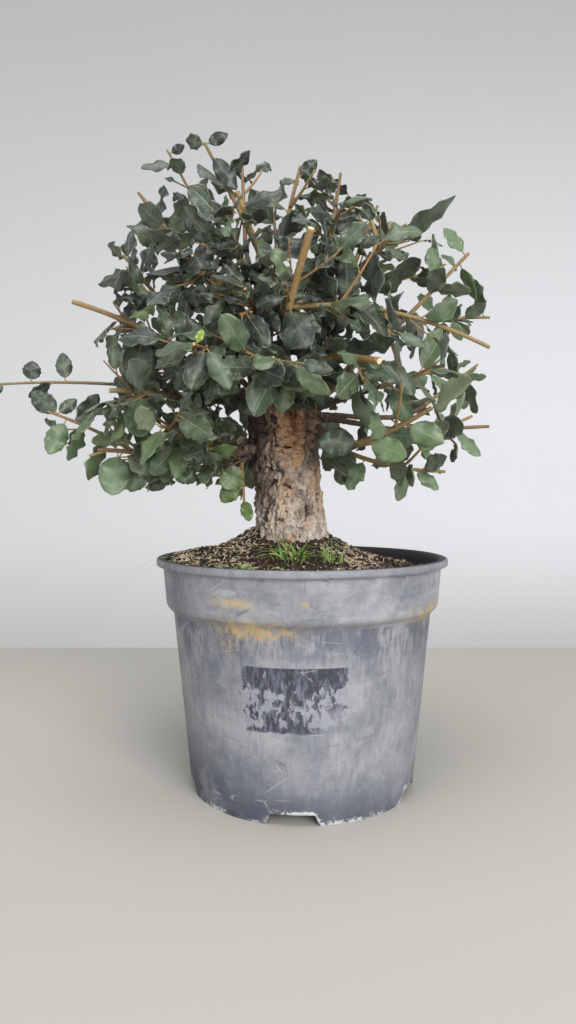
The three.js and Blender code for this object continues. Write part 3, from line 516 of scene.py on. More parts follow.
class Skin:
    """Points, faces and per-point marks gathered for one piece."""

    def __init__(self):
        self.points, self.marks, self.tints = [], [], []
        self.faces, self.slots = [], []
        self.count = 0

    def add(self, points, faces, slots=0, mark=(0, 0, 0), tint=(0, 0, 0)):
        """faces: arrays of corners into points. slots: the material slot of each array."""
        n = len(points)
        self.points.append(np.asarray(points, float))
        self.marks.append(np.broadcast_to(mark, (n, 3)))
        self.tints.append(np.broadcast_to(tint, (n, 3)))
        for k, face in enumerate(faces):
            face = np.asarray(face, np.int64)
            self.faces.append(face + self.count)
            self.slots.append(slots[k] if isinstance(slots, (list, tuple)) else slots)
        self.count += n

    def piece(self, name, materials, slot, replaced=(), flat=False):
        """Makes the object, rides it on the root body and hides the nodes that it replaces."""
        mesh = bpy.data.meshes.new(name)
        points = np.concatenate(self.points) * MM + AXIS
        corners = np.concatenate([f.ravel() for f in self.faces])
        sizes = np.concatenate([np.full(len(f), f.shape[1]) for f in self.faces])
        mesh.vertices.add(len(points))
        mesh.vertices.foreach_set("co", points.astype(np.float32).ravel())
        mesh.loops.add(len(corners))
        mesh.loops.foreach_set("vertex_index", corners.astype(np.int32))
        mesh.polygons.add(len(sizes))
        mesh.polygons.foreach_set("loop_start", np.append(0, np.cumsum(sizes)[:-1]).astype(np.int32))
        index = np.concatenate([np.full(len(f), s) for f, s in zip(self.faces, self.slots)])
        mesh.polygons.foreach_set("material_index", index.astype(np.int32))
        mesh.update(calc_edges=True)
        mesh.polygons.foreach_set("use_smooth", np.full(len(sizes), not flat))
        write_marks(mesh, np.concatenate(self.marks), np.concatenate(self.tints))
        for material in materials:
            mesh.materials.append(material)
        mesh.validate()
        return dress(put(name, mesh), replaced)


def write_marks(mesh, marks, tints):
    """The numbers that the materials read at each point."""
    for key, values in (("mark", marks), ("tint", tints)):
        rows = mesh.attributes.get(key) or mesh.attributes.new(key, "FLOAT_VECTOR", "POINT")
        rows.data.foreach_set("vector", values.astype(np.float32).ravel())


def put(name, data):
    made = bpy.data.objects.new(name, data)
    bpy.context.scene.collection.objects.link(made)
    return made


def finished_mesh(made):
    """The mesh of an object with its modifiers carried out."""
    return bpy.data.meshes.new_from_object(made.evaluated_get(bpy.context.evaluated_depsgraph_get()))


def dress(made, replaced):
    """Rides an object on the root body and hides the nodes that it stands for."""
    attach(made, "root")
    if replaced:
        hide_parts(*replaced)
    return made


def grid_faces(rows, columns, closed=False):
    """Quads of a grid of points, row by row. closed joins the last column to the first."""
    i, j = np.meshgrid(np.arange(rows - 1), np.arange(columns if closed else columns - 1), indexing="ij")
    a = (i * columns + j).ravel()
    b = (i * columns + (j + 1) % columns).ravel()
    return np.stack([a, b, b + columns, a + columns], 1)


def fan(center, ring):
    """Triangles from one point to a closed ring of points."""
    ring = np.asarray(ring)
    return np.stack([np.full(len(ring), center), ring, np.roll(ring, -1)], 1)


def closed_faces(rows, columns):
    """Faces of stacked rings of points, with the two middle points after them that close the ends."""
    count = rows * columns
    ring = np.arange(columns)
    return [grid_faces(rows, columns, True), fan(count, ring[::-1]), fan(count + 1, ring + count - columns)]


def round_angles(count):
    return 2 * np.pi * np.arange(count) / count


def ring_points(radius, angles, z):
    """Points round the axis at a radius and a height, or at one of each for every angle."""
    return np.stack([radius * np.cos(angles), radius * np.sin(angles), z + angles * 0], -1)


def add_tube(skin, curve, radii, sides, steps, slot=0, cut_slot=None, tint=(0, 0, 0), lumps=0.0, seed=0):
    """A round limb or twig along a curve with small lumps. With cut_slot, its far end is a clean cut."""
    t = np.linspace(0, 1, steps + 1)
    middles = np.array([curve.at(x) for x in t])
    headings = np.array([curve.heading(x) for x in t])
    u, w = across(headings[0])
    rings = []
    angles = round_angles(sides)
    for k in range(steps + 1):
        u = unit(u - headings[k] * (u @ headings[k]))
        w = np.cross(headings[k], u)
        ring = np.multiply.outer(np.cos(angles), u) + np.multiply.outer(np.sin(angles), w)
        radius = radii[0] + (radii[1] - radii[0]) * t[k]
        large, small = noise(middles[k] / 3.1 + ring * 1.3, seed), noise(middles[k] / 1.2 + ring)
        rings.append(middles[k] + ring * radius * (1 + lumps * large + lumps * 0.7 * small)[:, None])
    rings = np.array(rings)
    if cut_slot is not None:
        bevel = middles[-1] + (rings[-1] - middles[-1]) * 0.86 + headings[-1] * 0.12 * radii[1]
        rings = np.concatenate([rings, bevel[None]])
    ends = [middles[0], middles[-1] + headings[-1] * 0.1 * radii[1]]
    along = np.append(np.repeat(np.append(t, 1)[:len(rings)], sides), (0, 1))
    skin.add(np.concatenate([rings.reshape(-1, 3), ends]), closed_faces(len(rings), sides),
             [slot, slot, slot if cut_slot is None else cut_slot],
             np.column_stack([along, along * 0, along * 0]), tint)


# The fine blade: rows along the midrib from the stalk to the tip, and columns across it.
BLADE_ROWS = 15
BLADE_COLUMNS = np.array([-1, -0.74, -0.38, 0, 0.38, 0.74, 1])
BLADE_HALF = 0.17
TOOTH_REACH = 0.016
STALK_RADII = (0.6, 0.38)

# The material slots of a leafy piece.
UPPER, UNDER, TWIG, CUT = range(4)


def blade_template():
    """Places on a blade, t along and s across, and which of them are the points of its few small teeth."""
    rows = np.linspace(PETIOLE, 1, BLADE_ROWS)
    t, s = np.meshgrid(rows, BLADE_COLUMNS, indexing="ij")
    row = np.arange(BLADE_ROWS)[:, None]
    left = (BLADE_COLUMNS == -1) & (row % 3 == 0) & (row > 2)
    right = (BLADE_COLUMNS == 1) & (row % 3 == 1) & (row > 3)
    return t, s, (left | right) * 1.0


BLADE_T, BLADE_S, BLADE_TEETH = blade_template()
TOP_FACES = grid_faces(BLADE_ROWS, len(BLADE_COLUMNS))


def blade_edges():
    """The narrow faces that join the two skins of a blade round its edge."""
    columns = len(BLADE_COLUMNS)
    count = BLADE_ROWS * columns
    left = np.arange(BLADE_ROWS) * columns
    right = left + columns - 1
    tip = np.arange(count - 2, count - columns, -1)
    loop = np.concatenate([left[::-1], np.arange(1, columns - 1), right, tip])
    after = np.roll(loop, -1)
    return np.stack([loop, loop + count, after + count, after], 1)


EDGE_FACES = blade_edges()


def fuller(leaf, t):
    """How much wider the fine blade is than the plain one: a blunt leaf is broad nearer to its ends."""
    along = np.clip((t - PETIOLE) / (1 - PETIOLE), 0, 1)
    fine = np.maximum(np.sin(np.pi * along ** 0.92), 0) ** (0.78 - 0.3 * leaf["blunt"])
    return fine / np.maximum(half_width(t), 1e-3)


def twisted(vectors, forward, turn):
    """Vectors turned about the blade's own heading."""
    return (vectors * np.cos(turn)[..., None] + np.cross(forward, vectors) * np.sin(turn)[..., None]
            + forward * ((forward * vectors).sum(-1) * (1 - np.cos(turn)))[..., None])


def fine_blade(leaf):
    """A leaf's middle surface with its teeth, waves and twist, and the way out of its upper face."""
    t = BLADE_T + TOOTH_REACH * BLADE_TEETH
    s = BLADE_S * (1 + leaf["tooth"] * BLADE_TEETH) * fuller(leaf, BLADE_T)
    spine, normal = blade_skin(leaf, t, np.zeros(s.shape))
    middle = blade_skin(leaf, t, s)[0]
    wave = leaf["length"] * leaf["ripple"] * BLADE_S ** 2 * half_width(t)
    wave = wave * np.sin(leaf["beat"] * t + leaf["phase"] + np.where(s > 0, 2.3, 0.4))
    arm = middle - spine + wave[..., None] * normal
    turn = leaf["twist"] * (t - 0.3)
    forward = np.cross(np.broadcast_to(leaf["side"], normal.shape), normal)
    sway = leaf["sway"] * leaf["length"] * (t - PETIOLE) ** 2
    spine = spine + sway[..., None] * leaf["side"]
    return spine + twisted(arm, forward, turn), twisted(normal, forward, turn)


def add_leaf(skin, leaf):
    """A thin toothed blade with a raised rib below and a short stalk."""
    t, s = BLADE_T, BLADE_S
    middle, normal = fine_blade(leaf)
    half = BLADE_HALF * (1 - 0.45 * np.abs(s).clip(0, 1))
    rib = np.where(s == 0, 1.0, 0.0) * (1 - t)
    top = middle + (half - 0.16 * rib)[..., None] * normal
    below = middle - (half + 0.36 * rib)[..., None] * normal
    count = top.shape[0] * top.shape[1]
    points = np.concatenate([top.reshape(-1, 3), below.reshape(-1, 3)])
    marks = np.column_stack([np.tile(t.ravel(), 2), np.tile(s.ravel(), 2), np.full(2 * count, leaf["phase"])])
    faces = [TOP_FACES, TOP_FACES[:, ::-1] + count, EDGE_FACES]
    skin.add(points, faces, [UPPER, UNDER, UPPER], marks, leaf["tint"])
    foot = blade_skin(leaf, np.array([0.0, PETIOLE * 0.5]), np.zeros(2))[0]
    stalk = Curve(foot[0], foot[1], middle[1, 3])
    add_tube(skin, stalk, STALK_RADII, 5, 2, TWIG, tint=(0.1, 0.3, 0))


class Paint:
    """A material's nodes, built up call by call. Noise reads the piece's own place, in metres."""

    def __init__(self, name):
        self.material = bpy.data.materials.new(name)
        self.material.use_nodes = True
        self.tree = self.material.node_tree
        self.shader = self.tree.nodes["Principled BSDF"]
        self.place = self.tree.nodes.new("ShaderNodeTexCoord").outputs["Object"]
        self.known = {}

    def node(self, kind, settings=None, **inputs):
        made = self.tree.nodes.new(kind)
        for key, value in (settings or {}).items():
            setattr(made, key, value)
        for key, value in inputs.items():
            self.feed(made.inputs[int(key[1:]) if key[0] == "i" and key[1:].isdigit() else key], value)
        return made

    def feed(self, socket, value):
        if isinstance(value, bpy.types.NodeSocket):
            self.tree.links.new(value, socket)
        elif isinstance(value, (int, float)) and socket.type == "RGBA":
            socket.default_value = (value, value, value, 1)
        elif socket.type == "RGBA":
            socket.default_value = (*value, 1)
        else:
            socket.default_value = value

    def attribute(self, name):
        """The three numbers of a per-point mark."""
        if name not in self.known:
            read = self.node("ShaderNodeAttribute", {"attribute_name": name})
            split = self.node("ShaderNodeSeparateXYZ", i0=read.outputs["Vector"])
            self.known[name] = [split.outputs[k] for k in range(3)]
        return self.known[name]

    def math(self, operation, a, b=0.0, c=0.0):
        return self.node("ShaderNodeMath", {"operation": operation}, i0=a, i1=b, i2=c).outputs[0]

    def times(self, a, b):
        return self.math("MULTIPLY", a, b)

    def plus(self, a, b):
        return self.math("ADD", a, b)

    def minus(self, a, b):
        return self.math("SUBTRACT", a, b)

    def scaled(self, value, factor, offset):
        return self.math("MULTIPLY_ADD", value, factor, offset)

    def step(self, low, high, value):
        """A smooth step of a value from 0 at low to 1 at high."""
        return self.node("ShaderNodeMapRange", {"interpolation_type": "SMOOTHSTEP"},
                         i0=value, i1=low, i2=high, i3=0.0, i4=1.0).outputs[0]

    def stretched(self, x, y, z, bend=(0, 0, 0)):
        """The piece's own place, scaled along each axis and turned: a low number draws noise out."""
        return self.node("ShaderNodeMapping", i0=self.place, i2=bend, i3=(x, y, z)).outputs[0]

    def noise(self, size, detail=3.0, rough=0.55, place=None, warp=0.0):
        """Noise from 0 to 1 whose features are about size metres across."""
        return self.node("ShaderNodeTexNoise", Vector=place or self.place, Scale=1 / size, Detail=detail,
                         Roughness=rough, Distortion=warp).outputs[0]

    def patches(self, low, high, *noise):
        """Where noise is high: a smooth step of it."""
        return self.step(low, high, self.noise(*noise))

    def cells(self, size, place):
        """How far a place is from the edges of a pattern of cells."""
        return self.node("ShaderNodeTexVoronoi", {"feature": "DISTANCE_TO_EDGE"}, Scale=1 / size,
                         Vector=place).outputs[0]

    def mix(self, share, a, b):
        return self.node("ShaderNodeMix", {"data_type": "RGBA"}, i0=share, i6=a, i7=b).outputs[2]

    def lerp(self, share, a, b):
        return self.node("ShaderNodeMix", {"data_type": "FLOAT"}, i0=share, i2=a, i3=b).outputs[0]

    def blend(self, share, a, b):
        """A mix of two colours as they look on a screen."""
        return self.mix(share, linear(*a), linear(*b))

    def coat(self, under, share, strength, ink):
        """A flat colour over what is under, where share is high and as dense as strength."""
        if strength != 1:
            share = self.times(share, strength)
        return self.mix(share, under, linear(*ink))

    def bump(self, height, distance):
        return self.node("ShaderNodeBump", Height=height, Distance=distance, Strength=1.0).outputs[0]

    def done(self, colour, roughness, normal=None, **constants):
        inputs = {"Base Color": colour, "Roughness": roughness}
        if normal:
            inputs["Normal"] = normal
        for key, value in {**inputs, **constants}.items():
            self.feed(self.shader.inputs[key.replace("_", " ")], value)
        return self.material


def linear(*colour):
    """A colour given as it looks on a screen, from 0 to 255, as the shader takes it."""
    shares = [value / 255 for value in colour]
    return tuple(c / 12.92 if c <= 0.04045 else ((c + 0.055) / 1.055) ** 2.4 for c in shares)


def leaf_veins(paint):
    """How near a place on a blade is to a vein: the rib and slanting side veins, stronger on some leaves."""
    t, s, seed = paint.attribute("mark")
    out = paint.math("ABSOLUTE", s)
    strength = paint.scaled(paint.math("FRACT", paint.times(seed, 3.7)), 0.8, 0.25)
    rib = paint.times(paint.step(0.06, 0.015, out), strength)
    slant = paint.scaled(out, -0.17, t)
    wander = paint.times(paint.noise(0.004, 1), 0.05)
    row = paint.math("PINGPONG", paint.times(paint.plus(slant, wander), 8.5), 0.5)
    side = paint.times(paint.step(0.08, 0.02, row), paint.step(0.9, 0.4, out))
    return rib, paint.times(side, strength)


def leaf_top():
    """The upper face: dark grey-green, dusty, with a soft shine, a pale rib, a pale bloom over the middle
    that is also a painted sheen, and painted shade on leaves deep in the crown.
    """
    paint = Paint("leaf_top")
    shade, young, brown = paint.attribute("tint")
    rib, side = leaf_veins(paint)
    cloud = paint.noise(0.009, 4)
    _, s, seed = paint.attribute("mark")
    out = paint.math("ABSOLUTE", s)
    dark = paint.blend(cloud, (22, 33, 31), (39, 52, 45))
    light = paint.blend(cloud, (60, 84, 58), (100, 120, 86))
    colour = paint.mix(shade, dark, light)
    fresh = paint.blend(cloud, (82, 110, 56), (122, 144, 78))
    colour = paint.mix(young, colour, fresh)
    colour = paint.coat(colour, paint.step(0.9, 0.98, young), 1, (134, 158, 58))
    # A pale dusty bloom over the blade's middle, which is also a painted sheen.
    bloom = paint.times(paint.step(0.95, 0.1, out), paint.patches(0.44, 0.7, 0.013, 3))
    dust_and_sheen = paint.scaled(young, -0.26, 0.36)
    colour = paint.coat(colour, paint.times(bloom, dust_and_sheen), 1, (132, 142, 124))
    dust = paint.patches(0.45, 0.75, 0.0035, 5, 0.65)
    colour = paint.coat(colour, dust, 0.24, (134, 140, 124))
    # Painted shade: leaves with a lightness below zero, deep in the crown, are darkened.
    deep = paint.step(0, -0.8, shade)
    colour = paint.coat(colour, deep, 0.6, (17, 26, 20))
    colour = paint.coat(colour, side, 0.18, (132, 146, 100))
    colour = paint.coat(colour, rib, 0.55, (150, 158, 106))
    edge = paint.times(paint.step(0.88, 0.99, out), paint.step(0.42, 0.58, cloud))
    each = paint.scaled(paint.math("FRACT", paint.times(seed, 5.3)), 0.5, 0.15)
    colour = paint.coat(colour, paint.times(edge, each), 1, (146, 148, 108))
    spots = paint.patches(0.66, 0.74, 0.006, 2)
    spots = paint.times(spots, paint.step(0.1, 0.5, brown))
    colour = paint.coat(colour, spots, 0.7, (118, 92, 60))
    whole = paint.step(0.8, 0.9, brown)
    colour = paint.mix(whole, colour, paint.blend(cloud, (92, 66, 46), (132, 98, 68)))
    rough = paint.lerp(paint.noise(0.003, 3), 0.3, 0.52)
    height = paint.plus(paint.times(side, -0.6), paint.times(rib, -1.0))
    height = paint.plus(height, paint.times(paint.noise(0.0012, 3), 0.5))
    return paint.done(colour, rough, paint.bump(height, 0.00022), Sheen_Weight=0.08, Sheen_Roughness=0.45,
                      Specular_IOR_Level=0.5)


def leaf_under():
    """The underside: pale sage felt with raised veins, darkened by painted shade deep in the crown."""
    paint = Paint("leaf_under")
    shade, young, brown = paint.attribute("tint")
    rib, side = leaf_veins(paint)
    cloud = paint.noise(0.005, 4)
    colour = paint.blend(cloud, (66, 78, 66), (104, 113, 94))
    # Painted shade for undersides deep in the crown.
    colour = paint.coat(colour, paint.step(0, -0.8, shade), 0.4, (40, 48, 42))
    colour = paint.coat(colour, young, 0.8, (150, 166, 96))
    colour = paint.coat(colour, side, 0.35, (150, 153, 126))
    colour = paint.coat(colour, rib, 0.6, (168, 165, 126))
    colour = paint.coat(colour, paint.step(0.8, 0.9, brown), 1, (120, 90, 64))
    height = paint.plus(paint.times(side, 0.7), paint.noise(0.0008, 3, 0.7))
    return paint.done(colour, 0.82, paint.bump(height, 0.0003), Sheen_Weight=0.2, Sheen_Roughness=0.5)


def twig_bark():
    """Twigs: orange tan while young, dark purple brown when old, with streaks and pores."""
    paint = Paint("twig_bark")
    age, green, _ = paint.attribute("tint")
    streak = paint.noise(0.0022, 4, 0.6)
    young = paint.blend(streak, (120, 88, 54), (178, 144, 92))
    old = paint.blend(streak, (56, 45, 43), (104, 86, 76))
    colour = paint.mix(age, young, old)
    colour = paint.mix(green, colour, paint.blend(streak, (112, 106, 66), (158, 150, 98)))
    pores = paint.patches(0.66, 0.72, 0.0009, 2)
    colour = paint.coat(colour, pores, 0.5, (188, 168, 138))
    height = paint.plus(streak, paint.times(paint.noise(0.0008, 3), 0.6))
    return paint.done(colour, 0.78, paint.bump(height, 0.0005))


def cut_wood():
    """A clean pruning cut: cream wood with a darker pith."""
    paint = Paint("cut_wood")
    grain = paint.noise(0.0011, 4, 0.7)
    colour = paint.blend(grain, (200, 178, 136), (230, 216, 180))
    return paint.done(colour, 0.8, paint.bump(grain, 0.0002))


# Smaller leaves and twigs that fill in between the first ones.
FILL_CLEAR = (2.1, 1.8, 1.1)
FILL_FRONT = -146
SIGHT_LINE = np.arange(5, 90, 5)[:, None]
FILL_SEED, LOOK_SEED = 911, 77
TWIG_RADII, SHOOT_RADII = (1.25, 0.75), (0.85, 0.5)
FILL_LUMPS = 0.1
SHOOT_TRIES = 10
SHOOT_LENGTH, INNER_LENGTH, INNER_LEAF = 27, 26, 26

# Twigs that show along more than their cut end, as shares of their length, and the one bright young leaf.
SHOWN = {"top_green": 1.0, "top_mid": 0.9, "bold_stub": 0.9, "right_up": 0.9, "upper_left": 0.8,
         "low_right_out": 0.7, "right_mid": 0.6, "top_right_stub": 0.8, "left_low": 0.6}
YOUNG_LEAF = ("fore_left", 0.97, (-62, -126, 322), 5)
DEAD_LEAVES = (-53, 376)
DEAD_REACH, DEAD_LONGEST = 9, 22

# A draw above one of these makes a leaf young, dead or spotted.
YOUNG_RARE, DEAD_RARE, SPOTTED_RARE = 0.982, 0.99, 0.93
LEADER_SHOWN = range(240, 305, 6)

# Cut stubs that the solids leave out: on which twig, how far along it, the tip and the radius.
CUT_STUBS = [
    ("top_green", 0.03, (-46, -59, 433), 1.9),
    ("top_right_stub", 0.3, (49, -43, 419), 1.6),
    ("top_right_stub", 0.42, (62, -47, 417), 1.2),
    ("fore_upper_left", 0.4, (-80, -69, 385), 1.2),
    ("low_left_stub", 0.85, (-150, -59, 250), 1.0),
    ("low_right_out", 0.35, (123, -40, 280), 1.1),
]


def leaf_look(leaf, random, second):
    """How one leaf is bent and toothed, and its tint."""
    loose = 1.0 if second else (0.12 if leaf.get("known") else 0.45)
    leaf["ripple"] = random.between(0.04, 0.1) * (1.25 if second else 1)
    leaf["beat"] = random.between(11, 20)
    leaf["tooth"] = random.between(0.05, 0.18 if second else 0.14)
    leaf["blunt"] = random()
    leaf["twist"] = loose * random.between(-1.5, 1.5)
    leaf["sway"] = loose * random.between(-0.16, 0.16)
    calm = 1 - 0.45 * smooth(30, 80, leaf["middle"][0])
    leaf["ripple"] *= calm
    leaf["wave"] *= 0.6 * calm
    leaf["fold"] += 0.3 * random() * (1.0 if not leaf.get("known") else 0.3)
    if second:
        leaf["width"] *= random.between(0.6, 0.95)
    leaf["tint"] = leaf_tint(leaf, random, second)


def leaf_tint(leaf, random, second):
    """How light, how young and how brown a leaf is, by its place in the crown. Lightness is the leaf's own
    random tone plus painted light on the low left, the low right and the right, and painted shade in the
    crown's upper heart.
    """
    x, z = leaf["middle"][0], leaf["middle"][2]
    # Painted light: leaves on the low left, the low right and the right are made lighter.
    low_left = smooth(-40, -110, x) * smooth(300, 235, z)
    low_right = smooth(20, 70, x) * smooth(320, 270, z)
    # Painted shade: leaves in the crown's upper heart are made darker.
    shaded_heart = smooth(75, 20, x) * smooth(312, 345, z)
    shade = random() ** 2 * (0.85 + 0.4 * low_left + 0.4 * low_right) + 0.6 * low_left + 0.7 * low_right
    shade += 0.35 * smooth(50, 100, x) - shaded_heart * (0.1 + 0.8 * random())
    # The low left's added yellow-green is painted light shining through the leaves.
    young = 0.3 * random() ** 5 + 0.6 * low_left * random() ** 2
    if random() > YOUNG_RARE:
        young += 0.5
    draw = random()
    dead = math.dist(from_front(leaf["middle"]), DEAD_LEAVES) < DEAD_REACH or draw > DEAD_RARE
    small_dead = second and dead and leaf["length"] < DEAD_LONGEST
    brown = 1.0 if small_dead else (0.6 if draw > SPOTTED_RARE else 0.0)
    if leaf.get("known"):
        shade, young = 0.85 * shade, 0.3 * young
    # The leaves under the left limb are tinted yellow-green: painted light shining through them from behind.
    if leaf["owner"] == "under_left":
        shade, young = 0.3 + 0.4 * shade, 0.55 + 0.5 * young
    return min(shade, 1), min(young, 1), brown


def open_sight(crown, at, radius):
    """Keeps the view from in front to a place clear of the leaves that are still to grow."""
    crown.block(at + SIGHT_LINE * unit(EYE - at), np.full(len(SIGHT_LINE), radius), "sight")


def open_sights(crown):
    """Opens the view to bare twigs, known leaves, the leader and cut stubs."""
    for row in BRANCHES:
        shown = SHOWN.get(row["name"], 0.9 * row["stub"])
        if not shown:
            continue
        axis = axis_of(row)
        for t in np.linspace(1 - shown, 1, 3 + int(6 * shown)):
            open_sight(crown, axis.at(t), row["r"][1] * 0.6)
    for leaf in crown.leaves:
        if leaf.get("known"):
            open_sight(crown, leaf["middle"], 0.3 * leaf["width"])
    for z in LEADER_SHOWN:
        open_sight(crown, vec((-37, -14, z)), 6.0)
    for stub, _, radius in cut_stubs():
        crown.block_curve(stub, (radius, radius), "sight")
        open_sight(crown, stub.at(0.8), 1.5)


def cut_stubs():
    """Each cut stub as a curve, with the name of the twig that carries it and its radius."""
    axes = {row["name"]: axis_of(row) for row in reversed(BRANCHES)}
    made = []
    for name, t, tip, radius in CUT_STUBS:
        foot, end = axes[name].at(t), vec(tip)
        made.append((Curve(foot, (foot + end) / 2 + axes[name].heading(t) * 1.5, end), name, radius))
    return made


def openness(at):
    """How airy the crown is at a place: 0 in its thick middle, up to 2 at its ends, its top and low right."""
    side = smooth(40, 95, at[0]) + smooth(-105, -150, at[0])
    low_right = smooth(5, 40, at[0]) * smooth(318, 295, at[2])
    return float(np.clip(side + 1.4 * low_right + 1.5 * smooth(385, 440, at[2]), 0, 2))


def fill_size(at):
    """The usual length of the small leaves at a place: shorter towards the top and the far ends."""
    return 29 - 9 * smooth(300, 400, at[2]) - 4 * min(openness(at), 1)


def extra_twigs(crown, curve, count, low, high, length, owner, random):
    """Short leafy shoots along a curve, each turned until it is clear."""
    shoots = []
    for j in range(count):
        t = low + (high - low) * (j + 0.5) / count
        start = curve.at(t)
        outward = unit(start - CROWN_CENTRE)
        for _ in range(SHOOT_TRIES):
            angle = FULL_TURN * random()
            reach = length * random.between(0.7, 1.25)
            spread = random.between(0.7, 1.2)
            way = unit(leaning(curve.heading(t), spread, angle) + outward * 0.35)
            end = start + way * reach + UP * 0.12 * reach
            shoot = Curve(start, start + way * reach * 0.5, end)
            inside = end[1] > crown.front and in_outline(end[None])[0]
            if inside and crown.twig_is_clear(shoot, 0.8, owner, 1.3):
                crown.block_curve(shoot, (0.9, 0.6), owner)
                shoots.append(shoot)
                break
    return shoots


def shoot_count(airy, most):
    """How many leafy shoots a twig or limb gets: fewer where the crown is airy."""
    return most if airy < 0.5 else (2 if airy < 0.9 else (1 if airy < 1.3 else 0))


def fill_in(crown, sprays):
    """Second growth: more leaves on each spray and leafy shoots along the bare limbs."""
    random = Draws(FILL_SEED)
    crown.front = FILL_FRONT
    inner = {"shoots": [], "leaves": []}

    def leaves_on(curve, count, low, high, size, owner, terminal):
        return grow_leaves(crown, curve, count, low, high, size, owner, random, terminal, FILL_CLEAR)

    for spray in sprays:
        row, axis = spray["row"], spray["axis"]
        name, leafy = row["name"], 1 - row["stub"]
        airy = openness(axis.at(0.6))
        size = fill_size(axis.at(0.6))
        spray["shoots"] = extra_twigs(
            crown, axis, shoot_count(airy, 3), 0.05, leafy, SHOOT_LENGTH, name, random)
        for shoot in spray["shoots"]:
            spray["leaves"] += leaves_on(shoot, 4 if airy < 0.4 else 2, 0.3, 1, size, name, True)
        for twig in [axis, *spray["twigs"]]:
            count = (7 if twig is axis else 4) if airy < 0.4 else (1 if airy < 1.3 else 0)
            spray["leaves"] += leaves_on(twig, count, 0.05, leafy, size, name, False)
        if row["hub"]:
            shoots = extra_twigs(
                crown, limb_curve(row), shoot_count(airy, 4), 0.42, 0.98, INNER_LENGTH, "inner", random)
            inner["shoots"] += shoots
            for shoot in shoots:
                inner["leaves"] += leaves_on(shoot, 4, 0.3, 1, INNER_LEAF, "inner", True)
    return inner


def add_young_leaf(crown, sprays, random):
    """The one bright young leaf, at the end of its twig."""
    name, t, tip, breadth = YOUNG_LEAF
    spray = next(spray for spray in sprays if spray["row"]["name"] == name)
    leaf = known_leaf(crown, spray["axis"], (t, tip, breadth), name, random)
    leaf_look(leaf, random, False)
    leaf["tint"] = (1, 1, 0)
    spray["leaves"].append(leaf)


def add_twig(skin, curve, radii, sides, steps, age, green, cut_slot=None, seed=0):
    """A twig, whose bark is darker with age and greener with green."""
    add_tube(skin, curve, radii, sides, steps, TWIG, cut_slot, (age, green, 0), FILL_LUMPS, seed)


def build_crown():
    """One piece for each spray, in its node's place, and one for the leaves on the bare limbs."""
    crown, sprays = grow()
    first = len(crown.leaves)
    open_sights(crown)
    inner = fill_in(crown, sprays)
    random = Draws(LOOK_SEED)
    for k, leaf in enumerate(crown.leaves):
        leaf_look(leaf, random, k >= first)
    add_young_leaf(crown, sprays, random)
    materials = [leaf_top(), leaf_under(), twig_bark(), cut_wood()]
    skins = {}
    for k, spray in enumerate(sprays):
        row = spray["row"]
        skin = skins.setdefault(row["name"], Skin())
        age = 0.15 if row["r"][0] > 2.5 else random.between(0.2, 0.75)
        add_twig(skin, spray["axis"], row["r"], 10, 26, age, 0.35 * random(), CUT, k)
        for twig in spray["twigs"]:
            add_twig(skin, twig, TWIG_RADII, 7, 10, 0.3, 0.3 * random(), seed=k)
        for shoot in spray["shoots"]:
            add_twig(skin, shoot, SHOOT_RADII, 6, 8, 0.25, 0.4 * random(), seed=k)
        for leaf in spray["leaves"]:
            add_leaf(skin, leaf)
    for stub, name, radius in cut_stubs():
        add_twig(skins[name], stub, (radius * 1.1, radius), 10, 10, 0.3 * random(), 0.3, CUT)
    for name, skin in skins.items():
        skin.piece("spray_" + name, materials, "leaf", [name])
    skin = Skin()
    for shoot in inner["shoots"]:
        add_twig(skin, shoot, SHOOT_RADII, 6, 8, 0.6, 0)
    for leaf in inner["leaves"]:
        add_leaf(skin, leaf)
    skin.piece("inner_leaves", materials, "leaf")


# The trunk. Its skin is one mesh made from overlapping rough forms, then carved by noise.
TRUNK_FOOT = 168
COLLAR_LENGTH = 24
VOXEL = 0.8
RELAX_ROUNDS = 5
SWELL = 0.5
SCAR = {"x": -8, "along": 33.8, "wide": 11.3, "tall": 21}
TONGUE = {"x": -3.4, "along": 12, "wide": 5, "tall": 11.5}
STUB_SCAR = {"at": (-17.5, -9, 287), "wide": 3.6, "tall": 6.5}
PALE_PLATE = {"x": -11, "z": 229, "wide": 4.6, "tall": 10}
CHOP_ANGLE = math.atan2(CHOP_HIGH - CHOP_LOW, CHOP_BACK - CHOP_FRONT)


def chop_place(p):
    """Of a point: its distance out of the chop's plane, and its place along the plane's slope."""
    y, z = p[..., 1] - CHOP_FRONT, p[..., 2] - CHOP_LOW
    return (z * math.cos(CHOP_ANGLE) - y * math.sin(CHOP_ANGLE),
            y * math.cos(CHOP_ANGLE) + z * math.sin(CHOP_ANGLE))


def rough_trunk(skin):
    """The chopped column: every upright line on it ends on the chop's plane or on a flat top behind."""
    sides, rows, top = 72, 40, 304
    angles = round_angles(sides)
    low, high = np.full(sides, float(TRUNK_FOOT)), np.full(sides, 280.0)
    for _ in range(8):
        radius = np.array([trunk_at(z)[2] for z in high])
        y = radius * np.sin(angles)
        high = np.clip(CHOP_LOW + (y - CHOP_FRONT) * math.tan(CHOP_ANGLE), CHOP_LOW - 6, top)
    share = np.linspace(0, 1, rows)[:, None]
    z = low + (high - low) * share
    up = (z - ROOT_BOTTOM) / (CHOP_HIGH - ROOT_BOTTOM)
    flare = 3.2 * smooth(212, 184, z) * (0.6 + 0.4 * np.cos(4 * angles + 0.8))
    ridge = 1.1 * np.cos(7 * angles + 1.6 * np.sin(z * 0.09)) + 0.6 * np.sin(3 * angles + z * 0.07)
    radius = ROOT_RADIUS - 2.6 * up + flare + ridge * smooth(170, 206, z)
    rings = ring_points(radius, angles, z)
    rings[..., 0] += TRUNK_X - 8 * np.maximum(up - 0.3, 0)
    points = np.concatenate([rings.reshape(-1, 3), rings[[0, -1]].mean(1)])
    skin.add(points, closed_faces(rows, sides))


